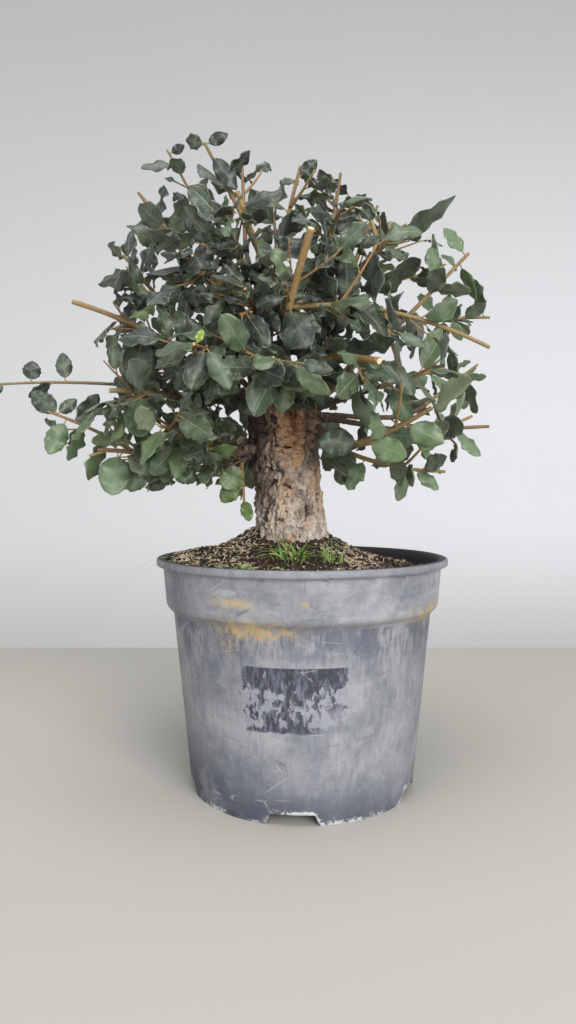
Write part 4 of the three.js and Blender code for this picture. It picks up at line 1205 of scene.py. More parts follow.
def rough_wood():
    """Column, leader, the collars of the limbs and a small old stub as overlapping closed forms."""
    skin = Skin()
    rough_trunk(skin)
    add_tube(skin, leader_curve, (LEADER_RADII[0] + 0.6, LEADER_RADII[1] + 0.4), 40, 40)
    tip = leader_curve.at(1)
    add_tube(skin, Curve(tip - UP, tip + (0.5, 0, 2), tip + (1, 0, 5)), (6, 2.5), 24, 4)
    stub = vec(STUB_SCAR["at"])
    add_tube(skin, Curve(stub + (-2, 9, -5), stub + (0, 3, -1), stub), (6.4, 4.6), 24, 6)
    for row in BRANCHES:
        if row["hub"]:
            limb = limb_curve(row)
            share = COLLAR_LENGTH / limb.length()
            start, middle, end = limb.at(0), limb.at(share * 0.5), limb.at(share)
            thick = 1.5 * row["r"][0] + 0.6
            collar = Curve(start, 2 * middle - (start + end) / 2, end)
            add_tube(skin, collar, (thick * 1.4, thick * 0.8), 16, 6)
    made = skin.piece("rough_wood", [], "bark")
    remesh = made.modifiers.new("Remesh", "REMESH")
    remesh.mode = "VOXEL"
    remesh.voxel_size = VOXEL * MM
    mesh = finished_mesh(made)
    bpy.data.objects.remove(made)
    return mesh


def read_points(mesh):
    """A mesh's points in layout millimetres."""
    points = np.zeros(len(mesh.vertices) * 3, np.float32)
    mesh.vertices.foreach_get("co", points)
    return (points.reshape(-1, 3).astype(float) - AXIS) / MM


def write_points(mesh, points):
    mesh.vertices.foreach_set("co", (points * MM + AXIS).astype(np.float32).ravel())
    mesh.update()


def relax(mesh, points, rounds):
    """Draws each point towards its neighbours, which rounds the seams between the rough forms."""
    edges = np.zeros(len(mesh.edges) * 2, np.int32)
    mesh.edges.foreach_get("vertices", edges)
    a, b = edges.reshape(-1, 2).T
    count = np.bincount(a, minlength=len(points)) + np.bincount(b, minlength=len(points))
    for _ in range(rounds):
        total = [np.bincount(a, axis[b], len(axis)) + np.bincount(b, axis[a], len(axis)) for axis in points.T]
        points = points * 0.4 + 0.6 * np.stack(total, 1) / count[:, None]
    return points


def oval(x, along, place):
    """How far a point of the chop is from an oval's middle: 1 on the oval's edge."""
    return np.hypot((x - place["x"]) / place["wide"], (along - place["along"]) / place["tall"])


def wood_zones(p):
    """Shares of a point's surface that are chop scar, leader, and the small stub's cut."""
    out, along = chop_place(p)
    shape = np.minimum(oval(p[:, 0], along, SCAR), oval(p[:, 0], along, TONGUE))
    shape = shape + 0.17 * noise(p / 5, 31) + 0.12 * noise(p / 2, 32)
    scar = smooth(1.06, 0.94, shape) * smooth(-2.6, -1.2, out)
    line = np.array([leader_curve.at(t) for t in np.linspace(0, 1, 50)])
    apart = np.sqrt(((p[:, None] - line) ** 2).sum(2)).min(1)
    leader = smooth(19, 13.5, apart + 2 * noise(p / 6, 33)) * smooth(228, 252, p[:, 2])
    leader = np.maximum(leader, smooth(300, 308, p[:, 2]))
    stub = (p - vec(STUB_SCAR["at"])) / (STUB_SCAR["wide"], 6, STUB_SCAR["tall"])
    stub = smooth(1.1, 0.9, np.sqrt((stub ** 2).sum(1)) + 0.1 * noise(p / 2, 34))
    return scar, leader * (1 - scar), stub, shape


def wander(p, sizes, seed):
    """Three noises of their own sizes, by which a pattern is bent."""
    return np.stack([noise(p / size, seed + k) for k, size in enumerate(sizes)], 1)


def threads(low, high, p, seed):
    """Thin lines, where noise is near 0."""
    return smooth(low, high, np.abs(noise(p, seed)))


def layered(p, seed):
    """Noise of three sizes, each half as large and half as strong as the one before."""
    return (noise(p, seed) + 0.5 * noise(p * 2.1, seed + 1) + 0.25 * noise(p * 4.3, seed + 2)) / 1.4


def bark_form(p):
    """Flaky cork: steps of thin plates, broken upright furrows and grit. Gives height, furrow and level."""
    bent = p + 2.2 * wander(p, (8, 8, 11), 1)
    bent += 1.3 * wander(p, (2.4, 2.4, 2.8), 22)
    broken = smooth(-0.25, 0.2, noise(p / (4, 4, 7), 21))
    furrow = threads(0.17, 0.03, bent / (4.4, 4.4, 13), 4) * broken
    crack = threads(0.15, 0.03, bent / (2.6, 2.6, 6), 5) * smooth(-0.3, 0.2, noise(p / 4, 25))
    cross = threads(0.1, 0.02, bent / (6, 6, 4), 6) * smooth(-0.2, 0.2, noise(p / 5, 26))
    level = 2.8 * layered(bent / (3.8, 3.8, 7), 60)
    plate = np.floor(level)
    plate = plate + smooth(0.5, 0.95, level - plate)
    grit = noise(p / 2.1, 8) + 0.7 * noise(p / 1.3, 9)
    height = (-2.4 * furrow - 1.5 * crack - 0.8 * cross * (1 - furrow) + 0.7 * plate
              + 1.1 * noise(bent / (9, 9, 16), 7) + 0.75 * grit)
    level = np.clip(0.5 + 0.28 * plate + 0.15 * grit, 0, 1)
    return height, np.clip(furrow + 0.6 * crack + 0.3 * cross, 0, 1), level


def between(a, b, share):
    """From a, where share is 0, to b, where it is 1."""
    return a * (1 - share) + b * share


def rolled_rim(p, shape):
    """The bark that rolls over the chop's edge, its left side and folds, and the groove inside it."""
    out, _ = chop_place(p)
    rim = smooth(1.0, 1.25, shape) * smooth(1.9, 1.4, shape) * smooth(-3, -1, out)
    left = smooth(-10, -17, p[:, 0])
    folds = np.sin(19 * shape + 2.5 * noise(p / 4, 36))
    groove = smooth(1.0, 1.08, shape) * smooth(1.3, 1.14, shape) * left * smooth(-6, -2, out)
    return rim, left, folds, groove


def bare_chop(p):
    """The height and the fine cracks of the chop's wood."""
    crack = smooth(0.08, 0, np.abs(noise(p / (12, 12, 2.7) + 0.3 * noise(p / 4, 12)[:, None], 13)))
    check = threads(0.08, 0, p / (2.6, 9, 9), 14)
    height = -1.0 * crack - 0.5 * check + 0.25 * noise(p / (6, 6, 1.3), 15) - 0.9
    return height, np.clip(crack + 0.4 * check, 0, 1)


def dark_flanks(p):
    """The column darker down both sides, with a ragged edge."""
    x = p[:, 0] + 3 * noise(p / (5, 5, 9), 35)
    left = smooth(-23, -31, x) * smooth(196, 216, p[:, 2]) * 0.75
    return np.maximum(left, smooth(-1, 4, x) * smooth(238, 250, p[:, 2]) * 0.7)


def bark_shades(p, bent, rim):
    """Shares of a white crust low down and of tan flakes, most on one plate, on the right and on the rim."""
    white = smooth(226, 200, p[:, 2]) * smooth(-0.45, 0.25, noise(p / 9, 16))
    plate = np.sqrt(((p[:, 0] - PALE_PLATE["x"]) / PALE_PLATE["wide"]) ** 2
                    + ((p[:, 2] - PALE_PLATE["z"]) / PALE_PLATE["tall"]) ** 2)
    plate = smooth(1.15, 0.85, plate + 0.3 * noise(p / 4, 17)) * smooth(0, -8, p[:, 1])
    right = smooth(-4, 6, p[:, 0]) * smooth(256, 246, p[:, 2]) * smooth(214, 224, p[:, 2])
    tan = np.maximum(plate, smooth(0.1, 0.5, noise(bent / (5, 5, 10), 18) + 0.45 * right + 0.6 * rim))
    return white, tan


def rusty(p):
    """A rusty stain down the chop's middle."""
    rust = smooth(7, 0.5, np.abs(p[:, 0] + 7 + 2 * noise(p / 7, 19)))
    return rust * smooth(-0.5, 0.3, noise(p / (3, 3, 7), 20)) * smooth(250, 262, p[:, 2])


def carve(p):
    """How far each point moves out, its marks (furrow, wood, darkness) and its tints (white, tan, tone). On
    the bark, tone is the plates' level, which paints a highlight on raised plates; on the chop, it is the
    rusty stain.
    """
    scar, leader, stub, shape = wood_zones(p)
    height, furrow, level = bark_form(p)
    bent = p + 1.6 * wander(p, (5, 5, 5), 1)
    pits = threads(0.3, 0.05, bent / (3.0, 3.0, 5.5), 10)
    grit = noise(p / 1.7, 8)
    height = between(height, -1.3 * pits + 0.4 * grit + 0.7 * noise(p / (4, 4, 9), 11), leader)
    furrow = between(furrow, 0.8 * pits, leader)
    rim, left, folds, groove = rolled_rim(p, shape)
    height = height * (1 - 0.6 * rim) + (1.6 + 3.2 * left + 0.9 * folds * left) * rim - 1.8 * groove
    furrow = furrow * (1 - 0.4 * rim)
    furrow = np.maximum(furrow, np.maximum(groove, 0.9 * smooth(-0.3, -0.9, folds) * rim * left))
    wood, cracks = bare_chop(p)
    height = between(between(height, wood, scar), -0.5 + 0.15 * grit, stub)
    furrow = between(furrow, cracks, scar) * (1 - stub)
    dark = dark_flanks(p) * (1 - scar) * (1 - stub) * smooth(8, 0, p[:, 1])
    dark = np.maximum(leader, dark) * (1 - 0.75 * rim)
    white, tan = bark_shades(p, bent, rim)
    marks = np.stack([furrow, np.maximum(scar, stub * 0.75), dark], 1)
    return height, marks, np.stack([white, tan, between(level, rusty(p), scar)], 1)


def build_trunk():
    """The bark of trunk, leader and collars as one skin."""
    mesh = rough_wood()
    points = relax(mesh, read_points(mesh), RELAX_ROUNDS)
    write_points(mesh, points)
    normals = np.zeros(len(mesh.vertices) * 3, np.float32)
    mesh.vertex_normals.foreach_get("vector", normals)
    normals = normals.reshape(-1, 3)
    height, marks, tints = carve(points)
    write_points(mesh, points + normals * (height + SWELL)[:, None])
    write_marks(mesh, marks, tints)
    mesh.polygons.foreach_set("use_smooth", np.ones(len(mesh.polygons), bool))
    mesh.materials.clear()
    mesh.materials.append(bark())
    mesh.name = "trunk_bark"
    dress(put("trunk_bark", mesh), ["trunk"])


def build_limbs():
    """The bare limbs, from the trunk to the twig of each spray."""
    skin = Skin()
    for k, row in enumerate(BRANCHES):
        if not row["hub"]:
            continue
        limb = limb_curve(row)
        radii = (1.25 * row["r"][0] + 0.3, row["r"][0] * 1.01)
        add_tube(skin, limb, radii, 12, int(limb.length() / 3), tint=(0.9, 0, 0), lumps=0.16, seed=k)
    skin.piece("limbs", [twig_bark()], "bark", ["trunk"])


def bark():
    """Cork: grey-beige flakes with dark furrows, tan patches, a pale crust low down and the bare chop."""
    paint = Paint("bark")
    depth, scar, leader = paint.attribute("mark")
    white, tan, tone = paint.attribute("tint")
    tall = paint.stretched(1, 1, 0.4)
    grain = paint.noise(0.0022, 5, 0.65, tall)
    speck = paint.noise(0.0009, 3, 0.7)
    skin = paint.mix(leader, cork(paint, tall, grain, white, tan, tone), old_bark(paint, grain))
    skin = bark_flaws(paint, skin, tall, speck, depth, leader)
    colour = paint.mix(scar, skin, bare_wood(paint, tone, depth))
    height = paint.plus(grain, paint.times(speck, 0.8))
    return paint.done(colour, 0.9, paint.bump(height, 0.0016), Specular_IOR_Level=0.3)


def cork(paint, tall, grain, white, tan, tone):
    """Grey-beige plates, lighter where they stand out as a painted highlight, with tan flakes and a pale
    crust.
    """
    patch = paint.noise(0.006, 5, 0.6, tall)
    low = paint.blend(patch, (100, 86, 77), (142, 124, 110))
    high = paint.blend(patch, (190, 172, 156), (236, 220, 202))
    # Raised plates are mixed towards the light colours: a painted highlight.
    plates = paint.mix(paint.scaled(grain, 0.7, paint.scaled(tone, 0.9, -0.3)), low, high)
    flake = paint.times(tan, paint.step(0.35, 0.6, patch))
    flakes = paint.blend(grain, (188, 146, 104), (222, 188, 146))
    plates = paint.mix(paint.times(flake, 0.75), plates, flakes)
    crust = paint.times(white, paint.patches(0.36, 0.6, 0.0034, 5, 0.65))
    return paint.coat(plates, crust, 0.75, (224, 214, 204))


def old_bark(paint, grain):
    """The leader's dark purple-brown bark with pale pits."""
    dark = paint.blend(grain, (60, 48, 47), (106, 88, 80))
    pits = paint.patches(0.6, 0.68, 0.0016, 2)
    return paint.coat(dark, pits, 0.5, (150, 122, 100))


def bark_flaws(paint, skin, tall, speck, depth, leader):
    """Pale and dark flecks, dark furrows and fine broken lines."""
    pale = paint.patches(0.56, 0.68, 0.0017, 4, 0.72, tall)
    pale = paint.times(pale, paint.scaled(leader, -0.32, 0.38))
    skin = paint.coat(skin, pale, 1, (226, 212, 194))
    flaws = paint.patches(0.52, 0.63, 0.0017, 4, 0.75, tall)
    skin = paint.coat(skin, flaws, 0.62, (78, 64, 57))
    sunk = paint.times(paint.step(0.22, 0.85, depth), paint.patches(0.3, 0.46, 0.003, 4, 0.7))
    skin = paint.coat(skin, sunk, 0.92, (54, 43, 39))
    line = paint.math("ABSOLUTE", paint.minus(paint.noise(0.0046, 4, 0.6, paint.stretched(1, 1, 0.35)), 0.5))
    skin = paint.coat(skin, paint.step(0.02, 0.004, line), 0.45, (76, 60, 54))
    return paint.coat(skin, paint.step(0.58, 0.75, speck), 0.45, (84, 70, 62))


def bare_wood(paint, tone, depth):
    """The chop: warm upright fibres crossed by thin dark bands and lines."""
    fibre = paint.noise(0.0024, 5, 0.65, paint.stretched(1, 1, 0.3))
    wood = paint.blend(paint.scaled(fibre, 1.8, -0.4), (212, 152, 108), (250, 218, 180))
    wood = paint.coat(wood, tone, 0.85, (150, 86, 52))
    grains = paint.patches(0.52, 0.62, 0.0013, 4, 0.7, paint.stretched(1, 1, 0.22))
    wood = paint.coat(wood, grains, 0.4, (128, 82, 52))
    bands = paint.noise(0.002, 4, 0.6, paint.stretched(0.35, 0.35, 1.6))
    wood = paint.coat(wood, paint.step(0.56, 0.66, bands), 0.55, (118, 72, 46))
    lines = paint.noise(0.0042, 4, 0.55, paint.stretched(0.22, 0.22, 1.5))
    lines = paint.step(0.032, 0.008, paint.math("ABSOLUTE", paint.minus(lines, 0.5)))
    wood = paint.coat(wood, lines, 0.6, (84, 52, 34))
    return paint.coat(wood, paint.step(0.3, 0.9, depth), 1, (70, 46, 34))


# The pot, as one turned wall whose lower edge follows the notches.
BAND_BOTTOM = POT_HEIGHT - LIP_HEIGHT - BAND_HEIGHT
BODY_TOP = BAND_BOTTOM - STEP_HEIGHT
BAND_RADIUS_TOP = RIM_RADIUS - LIP_WIDTH
BAND_RADIUS_BOTTOM = BAND_RADIUS_TOP - 2.6
BODY_RADIUS_TOP = BAND_RADIUS_BOTTOM - STEP_WIDTH
SKIRT_TOP = 13
POT_COLUMNS = 288
STAINS = [
    {"degrees": -27, "z": 152, "wide": 10, "tall": 5, "strength": 1.0},
    {"degrees": 1, "z": 152, "wide": 5, "tall": 4, "strength": 0.7},
    {"degrees": -20, "z": 134, "wide": 19, "tall": 8, "strength": 1.15},
    {"degrees": -31, "z": 124, "wide": 5, "tall": 12, "strength": 0.7},
    {"degrees": 62, "z": 139, "wide": 19, "tall": 8, "strength": 1.0},
    {"degrees": 120, "z": 136, "wide": 22, "tall": 8, "strength": 0.7},
    {"degrees": 205, "z": 136, "wide": 16, "tall": 10, "strength": 0.9},
]
SCRATCHES = [
    ((0.3, 0.5, 0.4), (0.3, 0.3, 1), (66, 70, 84)),
    ((0.1, -0.2, 0.9), (0.4, 0.4, 1.2), (164, 166, 171)),
    ((0.2, 0.9, 0.1), (0.7, 0.7, 0.16), (84, 87, 98)),
]
RESIDUE = {"left": -25, "right": 17, "bottom": 65, "top": 109}


def body_radius(z):
    """The tapered body's outer radius at a height."""
    return FOOT_RADIUS + (BODY_RADIUS_TOP - FOOT_RADIUS) * z / BODY_TOP


def foot_height(angles):
    """How high the wall's lower edge is at each angle: raised over the notches, a little ragged."""
    height = np.zeros(len(angles))
    for k in range(NOTCH_COUNT):
        turn = angles - math.radians(NOTCH_FIRST + 360 * k / NOTCH_COUNT)
        turn = (turn + np.pi) % (2 * np.pi) - np.pi
        out = np.where(np.abs(turn) < 1, np.abs(FOOT_RADIUS * np.sin(turn)), 1e3)
        height = np.maximum(height, NOTCH_HEIGHT * smooth(NOTCH_WIDTH / 2, NOTCH_TOP_WIDTH / 2, out))
    ring = ring_points(1, angles, 0)
    ragged = 0.35 * noise(ring * 22, 41) + 0.25 * noise(ring * 55, 42)
    return np.clip(height + ragged * (0.3 + 0.7 * (height > 1)), 0, NOTCH_HEIGHT)


def path(corners, counts):
    """Points along straight lines from corner to corner, a count for each line, without the last corner."""
    return [(a[0] + (b[0] - a[0]) * k / count, a[1] + (b[1] - a[1]) * k / count)
            for a, b, count in zip(corners, corners[1:], counts) for k in range(count)]


def wall_outline():
    """The wall's section from the skirt's top, over the lip and down inside, and where its outside ends."""
    lip = POT_HEIGHT - LIP_HEIGHT
    outside = path([
        (body_radius(SKIRT_TOP), SKIRT_TOP), (BODY_RADIUS_TOP, BODY_TOP - 1.5),
        (BODY_RADIUS_TOP + 1.2, BODY_TOP + 0.6), (BAND_RADIUS_BOTTOM - 0.9, BAND_BOTTOM - 1),
        (BAND_RADIUS_BOTTOM + 0.2, BAND_BOTTOM + 1.4), (BAND_RADIUS_TOP, lip - 0.8), (RIM_RADIUS - 0.8, lip),
    ], (34, 2, 4, 2, 11, 3))
    rim = [(RIM_RADIUS - 0.25, lip + 0.4), (RIM_RADIUS - 0.05, lip + 1.6), (RIM_RADIUS, lip + 3),
           (RIM_RADIUS - 0.2, lip + 4.3), (RIM_RADIUS - 0.9, lip + 5.2), (RIM_RADIUS - 2, POT_HEIGHT),
           (RIM_RADIUS - 4, POT_HEIGHT - 0.1), (BAND_RADIUS_TOP - POT_WALL + 1.4, POT_HEIGHT - 0.3)]
    inside = [
        (BAND_RADIUS_TOP - POT_WALL + 0.4, POT_HEIGHT - 1.4),
        (BAND_RADIUS_BOTTOM - POT_WALL, BAND_BOTTOM + 2),
        (BODY_RADIUS_TOP - POT_WALL, BODY_TOP + 2),
        (body_radius(SKIRT_TOP) - POT_WALL, SKIRT_TOP),
    ]
    return outside + rim + path(inside, (10, 2, 12)) + inside[-1:], len(outside) + 5


def skirt_rows(foot, shares, inward, bevel):
    """Rows of the skirt at shares of its height, the lowest one bevelled."""
    heights = [(share, foot + (SKIRT_TOP - foot) * share) for share in shares]
    return [(body_radius(z) - inward + (0 if share else bevel), z) for share, z in heights]


def stained(degrees, z):
    """How strong the stains are at each place of the wall."""
    stain = np.zeros(z.shape)
    for mark in STAINS:
        turn = (degrees - mark["degrees"] + 180) % 360 - 180
        away = (turn / mark["wide"]) ** 2 + ((z - mark["z"]) / mark["tall"]) ** 2
        stain = np.maximum(stain, mark["strength"] * np.exp(-away))
    return stain


def pot_wall():
    """The turned wall with its dents, stains and crust, in one closed piece."""
    angles = round_angles(POT_COLUMNS)
    foot = foot_height(angles)
    outline, outer_count = wall_outline()
    rows = skirt_rows(foot, (0.0, 0.06, 0.3, 0.65), 0, -0.35)
    rows += [(np.full(POT_COLUMNS, r), np.full(POT_COLUMNS, z)) for r, z in outline]
    rows += skirt_rows(foot, (0.6, 0.2, 0.0), POT_WALL, 0.3)
    r, z = (np.array(v) for v in zip(*rows))
    ring = ring_points(1, angles, 0)
    dents = 0.45 * noise(ring * 1.7, 43) * smooth(40, 170, z) + 0.12 * noise(ring * 9, 44)
    points = ring_points(r + dents, angles, z)
    points[..., 2] += 0.3 * noise(ring * 2.6, 45) * smooth(150, 172, z) * smooth(175.2, 170, z)
    degrees = np.degrees(angles + np.pi / 2) % 360
    degrees = np.where(degrees > 180, degrees - 360, degrees)
    inside = np.zeros(z.shape)
    inside[outer_count + 4:] = 1
    marks = np.stack([np.broadcast_to(degrees, z.shape), z, inside], 2)
    crust = smooth(5, 0.5, z - foot) * (0.55 + 1.1 * noise(ring * 6, 46)) * (1 - inside)
    tints = np.stack([stained(degrees, z), np.clip(crust, 0, 1), z * 0], 2)
    skin = Skin()
    skin.add(points.reshape(-1, 3), [grid_faces(len(rows), POT_COLUMNS, True), closing(len(rows))], 0,
             marks.reshape(-1, 3), tints.reshape(-1, 3))
    skin.piece("pot_wall", [pot_plastic()], "pot", ["pot"])


def closing(rows):
    """The faces between the last row and the first, which close the wall's lower edge."""
    i = np.arange(POT_COLUMNS)
    j = (i + 1) % POT_COLUMNS
    last = (rows - 1) * POT_COLUMNS
    return np.stack([last + i, last + j, j, i], 1)


def pot_floor():
    """The floor plate, through which the drain holes are cut."""
    skin = Skin()
    reach = body_radius(PLATE_TOP) - POT_WALL + 0.3
    columns, hole_sides = 180, 28
    angles = round_angles(columns)
    sides = [ring_points(r, angles, z) for z in (PLATE_TOP, PLATE_BOTTOM) for r in (reach, 40, 4)]
    faces = grid_faces(3, columns, True)
    count = 3 * columns
    i = np.arange(columns)
    j = (i + 1) % columns
    middle = [[0, 0, PLATE_TOP], [0, 0, PLATE_BOTTOM]]
    skin.add(np.concatenate([*sides, middle]), [
        faces[:, ::-1], faces + count, np.stack([i, j, j + count, i + count], 1)[:, ::-1],
        fan(2 * count, i + 2 * columns), fan(2 * count + 1, (i + 2 * columns + count)[::-1])],
        mark=(0, 10, 1))
    made = skin.piece("pot_floor", [bpy.data.materials["pot_plastic"]], "pot", ["pot"], flat=True)
    cutters = Skin()
    for k in range(NOTCH_COUNT):
        turn = math.radians(NOTCH_FIRST + 360 * k / NOTCH_COUNT)
        x, y = DRAIN_CIRCLE * math.cos(turn), DRAIN_CIRCLE * math.sin(turn)
        line = Curve((x, y, PLATE_BOTTOM - 4), (x, y, PLATE_BOTTOM), (x, y, PLATE_TOP + 4))
        add_tube(cutters, line, (DRAIN_RADIUS, DRAIN_RADIUS), hole_sides, 1)
    drills = cutters.piece("drills", [], "pot")
    cut = made.modifiers.new("Boolean", "BOOLEAN")
    cut.object = drills
    cut.operation = "DIFFERENCE"
    cut.solver = "EXACT"
    mesh = finished_mesh(made)
    made.modifiers.clear()
    made.data = mesh
    bpy.data.objects.remove(drills)


def pot_plastic():
    """Weathered grey plastic: marbled wear, streaks, soft stains, a pale crust and a flaky residue."""
    paint = Paint("pot_plastic")
    degrees, z, inside = paint.attribute("mark")
    stain, crust, _ = paint.attribute("tint")
    cloud = paint.noise(0.045, 5, 0.56, None, 0.5)
    down = paint.noise(0.0026, 5, 0.62, paint.stretched(1, 1, 0.085), 0.2)
    along = paint.noise(0.004, 5, 0.6, paint.stretched(0.17, 0.17, 1), 0.3)
    streak = paint.lerp(paint.step(133, 137, z), down, along)
    fleck = paint.noise(0.0022, 5, 0.7)
    colour = pot_wear(paint, cloud, streak)
    colour = pot_smudges_and_step_shade(paint, colour, degrees, z)
    colour = pot_stains(paint, colour, stain)
    colour = residue(paint, colour, degrees, z)
    for k, (bend, stretch, ink) in enumerate(SCRATCHES):
        lines = scratches(paint, bend, stretch, 0.013 + 0.004 * k)
        colour = paint.coat(colour, lines, 0.55, ink)
    ragged = paint.scaled(crust, 0.3, paint.noise(0.0026, 5, 0.72))
    lime = paint.times(paint.step(0.02, 0.2, crust), paint.step(0.58, 0.74, ragged))
    colour = paint.coat(colour, lime, 0.85, (200, 201, 203))
    colour = paint.mix(inside, colour, paint.blend(fleck, (34, 33, 34), (66, 64, 66)))
    height = paint.plus(streak, paint.times(fleck, 0.8))
    height = paint.plus(height, paint.times(lime, 1.2))
    rough = paint.lerp(cloud, 0.5, 0.72)
    return paint.done(colour, rough, paint.bump(height, 0.0003), Specular_IOR_Level=0.42)


def pot_wear(paint, cloud, streak):
    """Mid grey plastic under a soft marbled bloom, with fine streaks and hatching."""
    blotch = paint.noise(0.0105, 6, 0.66, paint.stretched(1, 1, 0.8), 1.0)
    hatch = paint.noise(0.0019, 4, 0.7, paint.stretched(1, 1, 0.5), 0.8)
    mixed = paint.scaled(cloud, 0.62, paint.scaled(blotch, 0.2, -0.01))
    mixed = paint.scaled(streak, 0.15, paint.plus(mixed, 0.045))
    colour = paint.blend(paint.step(0.37, 0.7, mixed), (106, 109, 118), (152, 152, 155))
    bloom = paint.times(paint.step(0.44, 0.66, blotch), paint.step(0.4, 0.62, hatch))
    colour = paint.coat(colour, bloom, 0.17, (180, 180, 181))
    pale = paint.times(paint.step(0.54, 0.7, streak), paint.step(0.4, 0.6, cloud))
    colour = paint.coat(colour, pale, 0.13, (180, 181, 184))
    worn = paint.times(paint.step(0.44, 0.3, streak), paint.step(0.6, 0.4, blotch))
    colour = paint.coat(colour, worn, 0.24, (90, 93, 104))
    lines = paint.step(0.03, 0.01, paint.cells(0.011, paint.stretched(1, 1, 0.6)))
    rubbed = paint.times(lines, paint.patches(0.5, 0.64, 0.012, 3))
    return paint.coat(colour, rubbed, 0.16, (176, 177, 180))


def pot_smudges_and_step_shade(paint, colour, degrees, z):
    """Dark runs below the step, a darker foot, a darker lip, and painted shade under the band's overhang in
    the step's corner.
    """
    under = paint.times(paint.step(92, 130, z), paint.step(136, 133, z))
    thread = paint.noise(0.0022, 4, 0.6, paint.stretched(1, 1, 0.1))
    runs = paint.times(paint.step(0.5, 0.62, thread), under)
    colour = paint.coat(colour, runs, 0.6, (70, 73, 90))
    soot = paint.patches(0.46, 0.6, 0.019, 4, 0.6, paint.stretched(1, 1, 0.7))
    soot = paint.times(soot, under)
    colour = paint.coat(colour, soot, 0.72, (76, 79, 92))
    patch = paint.times(inside_of(paint, degrees, -4, 22, 12), inside_of(paint, z, 118, 131, 9))
    patch = paint.times(patch, paint.patches(0.38, 0.55, 0.011, 5, 0.65))
    colour = paint.coat(colour, patch, 0.6, (86, 89, 103))
    across = paint.node("ShaderNodeSeparateXYZ", {}, i0=paint.place).outputs[0]
    height = paint.scaled(across, 160, z)
    broad = paint.times(paint.step(82, 20, height), paint.patches(0.3, 0.6, 0.04, 4, 0.6))
    colour = paint.coat(colour, broad, 0.34, (92, 97, 112))
    low = paint.times(paint.step(54, 2, height), paint.patches(0.28, 0.5, 0.03, 4, 0.6))
    colour = paint.coat(colour, low, 0.88, (56, 60, 76))
    lip = paint.step(168.5, 170, z)
    colour = paint.coat(colour, lip, 0.4, (104, 106, 114))
    # Painted shade in the step's corner, under the band's overhang.
    step_shade = paint.times(paint.step(134.5, 137, z), paint.step(141, 138, z))
    return paint.coat(colour, step_shade, 0.35, (96, 92, 94))


def pot_stains(paint, colour, stain):
    """Soft mottled stains, pale yellow with orange spots where they are strongest."""
    mottle = paint.noise(0.0048, 5, 0.62, paint.stretched(1, 1, 0.75))
    run = paint.times(stain, paint.step(0.3, 0.68, mottle))
    spots = paint.times(stain, paint.patches(0.54, 0.68, 0.0034, 3))
    colour = paint.coat(colour, paint.step(0.04, 0.9, run), 0.7, (178, 154, 98))
    return paint.coat(colour, paint.step(0.3, 0.8, spots), 0.5, (184, 128, 66))


def inside_of(paint, value, low, high, soft):
    """1 where a value lies between low and high, with soft edges."""
    return paint.times(paint.step(low - soft, low, value), paint.step(high + soft, high, value))


def residue(paint, colour, degrees, z):
    """What an old sticker left: a dark sharp-topped field, worn through in pale flakes."""
    wander = paint.scaled(paint.noise(0.0045, 5, 0.65), 14.0, -7.0)
    turn = paint.plus(degrees, paint.times(wander, paint.step(109, 90, z)))
    foot = paint.plus(z, paint.times(wander, 0.4))
    top, bottom = RESIDUE["top"], RESIDUE["bottom"]
    high = paint.times(paint.step(top + 0.6, top, z), paint.step(bottom - 1, bottom + 1, foot))
    box = paint.times(inside_of(paint, turn, RESIDUE["left"], RESIDUE["right"], 0.8), high)
    flakes = paint.noise(0.0068, 5, 0.58, paint.stretched(1, 1, 0.62), 0.3)
    upper = paint.step(88, 104, z)
    flakes = paint.scaled(upper, -0.1, flakes)
    flakes = paint.scaled(inside_of(paint, turn, -9, -4, 4), -0.055, flakes)
    flakes = paint.scaled(inside_of(paint, foot, 64, 68, 3), -0.05, flakes)
    flakes = paint.scaled(inside_of(paint, z, 74, 92, 6), 0.045, flakes)
    torn = paint.times(paint.step(0.5, 0.54, flakes), 0.8)
    torn = paint.times(torn, paint.step(65.5, 68.5, foot))
    specks = paint.noise(0.0018, 4, 0.7, paint.stretched(1, 1, 0.3))
    specks = paint.times(paint.step(0.53, 0.66, specks), 0.4)
    worn = paint.times(paint.step(2, 9, turn), paint.step(86, 76, z))
    left = paint.times(box, paint.scaled(worn, -0.6, 1.0))
    ghost = paint.coat(colour, box, 0.4, (150, 152, 162))
    rubbing = paint.noise(0.0032, 4, 0.65, paint.stretched(1, 1, 0.2))
    ink = paint.blend(paint.step(0.42, 0.68, rubbing), (42, 44, 58), (96, 98, 114))
    keep = paint.minus(0.97, paint.math("MAXIMUM", torn, specks))
    return paint.mix(paint.times(left, keep), ghost, ink)


def scratches(paint, bend, stretch, patch):
    """Fine long scratches, as the thin edges of a stretched and turned pattern."""
    edges = paint.step(0.014, 0.004, paint.cells(0.022, paint.stretched(*stretch, bend)))
    return paint.times(edges, paint.patches(0.52, 0.66, patch, 3))


# The soil, with chips of straw and bark scattered over it.
SOIL_RINGS = 84
SOIL_COLUMNS = 216
SOIL_REACH = BAND_RADIUS_BOTTOM - POT_WALL - GAP - 0.3 + 1.5
SOIL_LUMPS = [(1.3, 11, 51), (0.9, 5, 52), (0.7, 2.6, 53), (0.4, 1.4, 54)]
SOIL_GAP = 0.65


def soil_height(x, y):
    """The smooth surface of the solids' soil: tilted, and mounded round the trunk."""
    far = np.maximum(np.hypot(x - TRUNK_X, y - SOIL_BACK) - ROOT_RADIUS, 0)
    relief = np.sin(x * 0.21 + 1.3 * np.sin(y * 0.13)) * np.cos(y * 0.19 + 0.7)
    return SOIL_LEVEL - SOIL_TILT * x + SOIL_MOUND * np.exp(-far / SOIL_SPREAD) + SOIL_RELIEF * relief


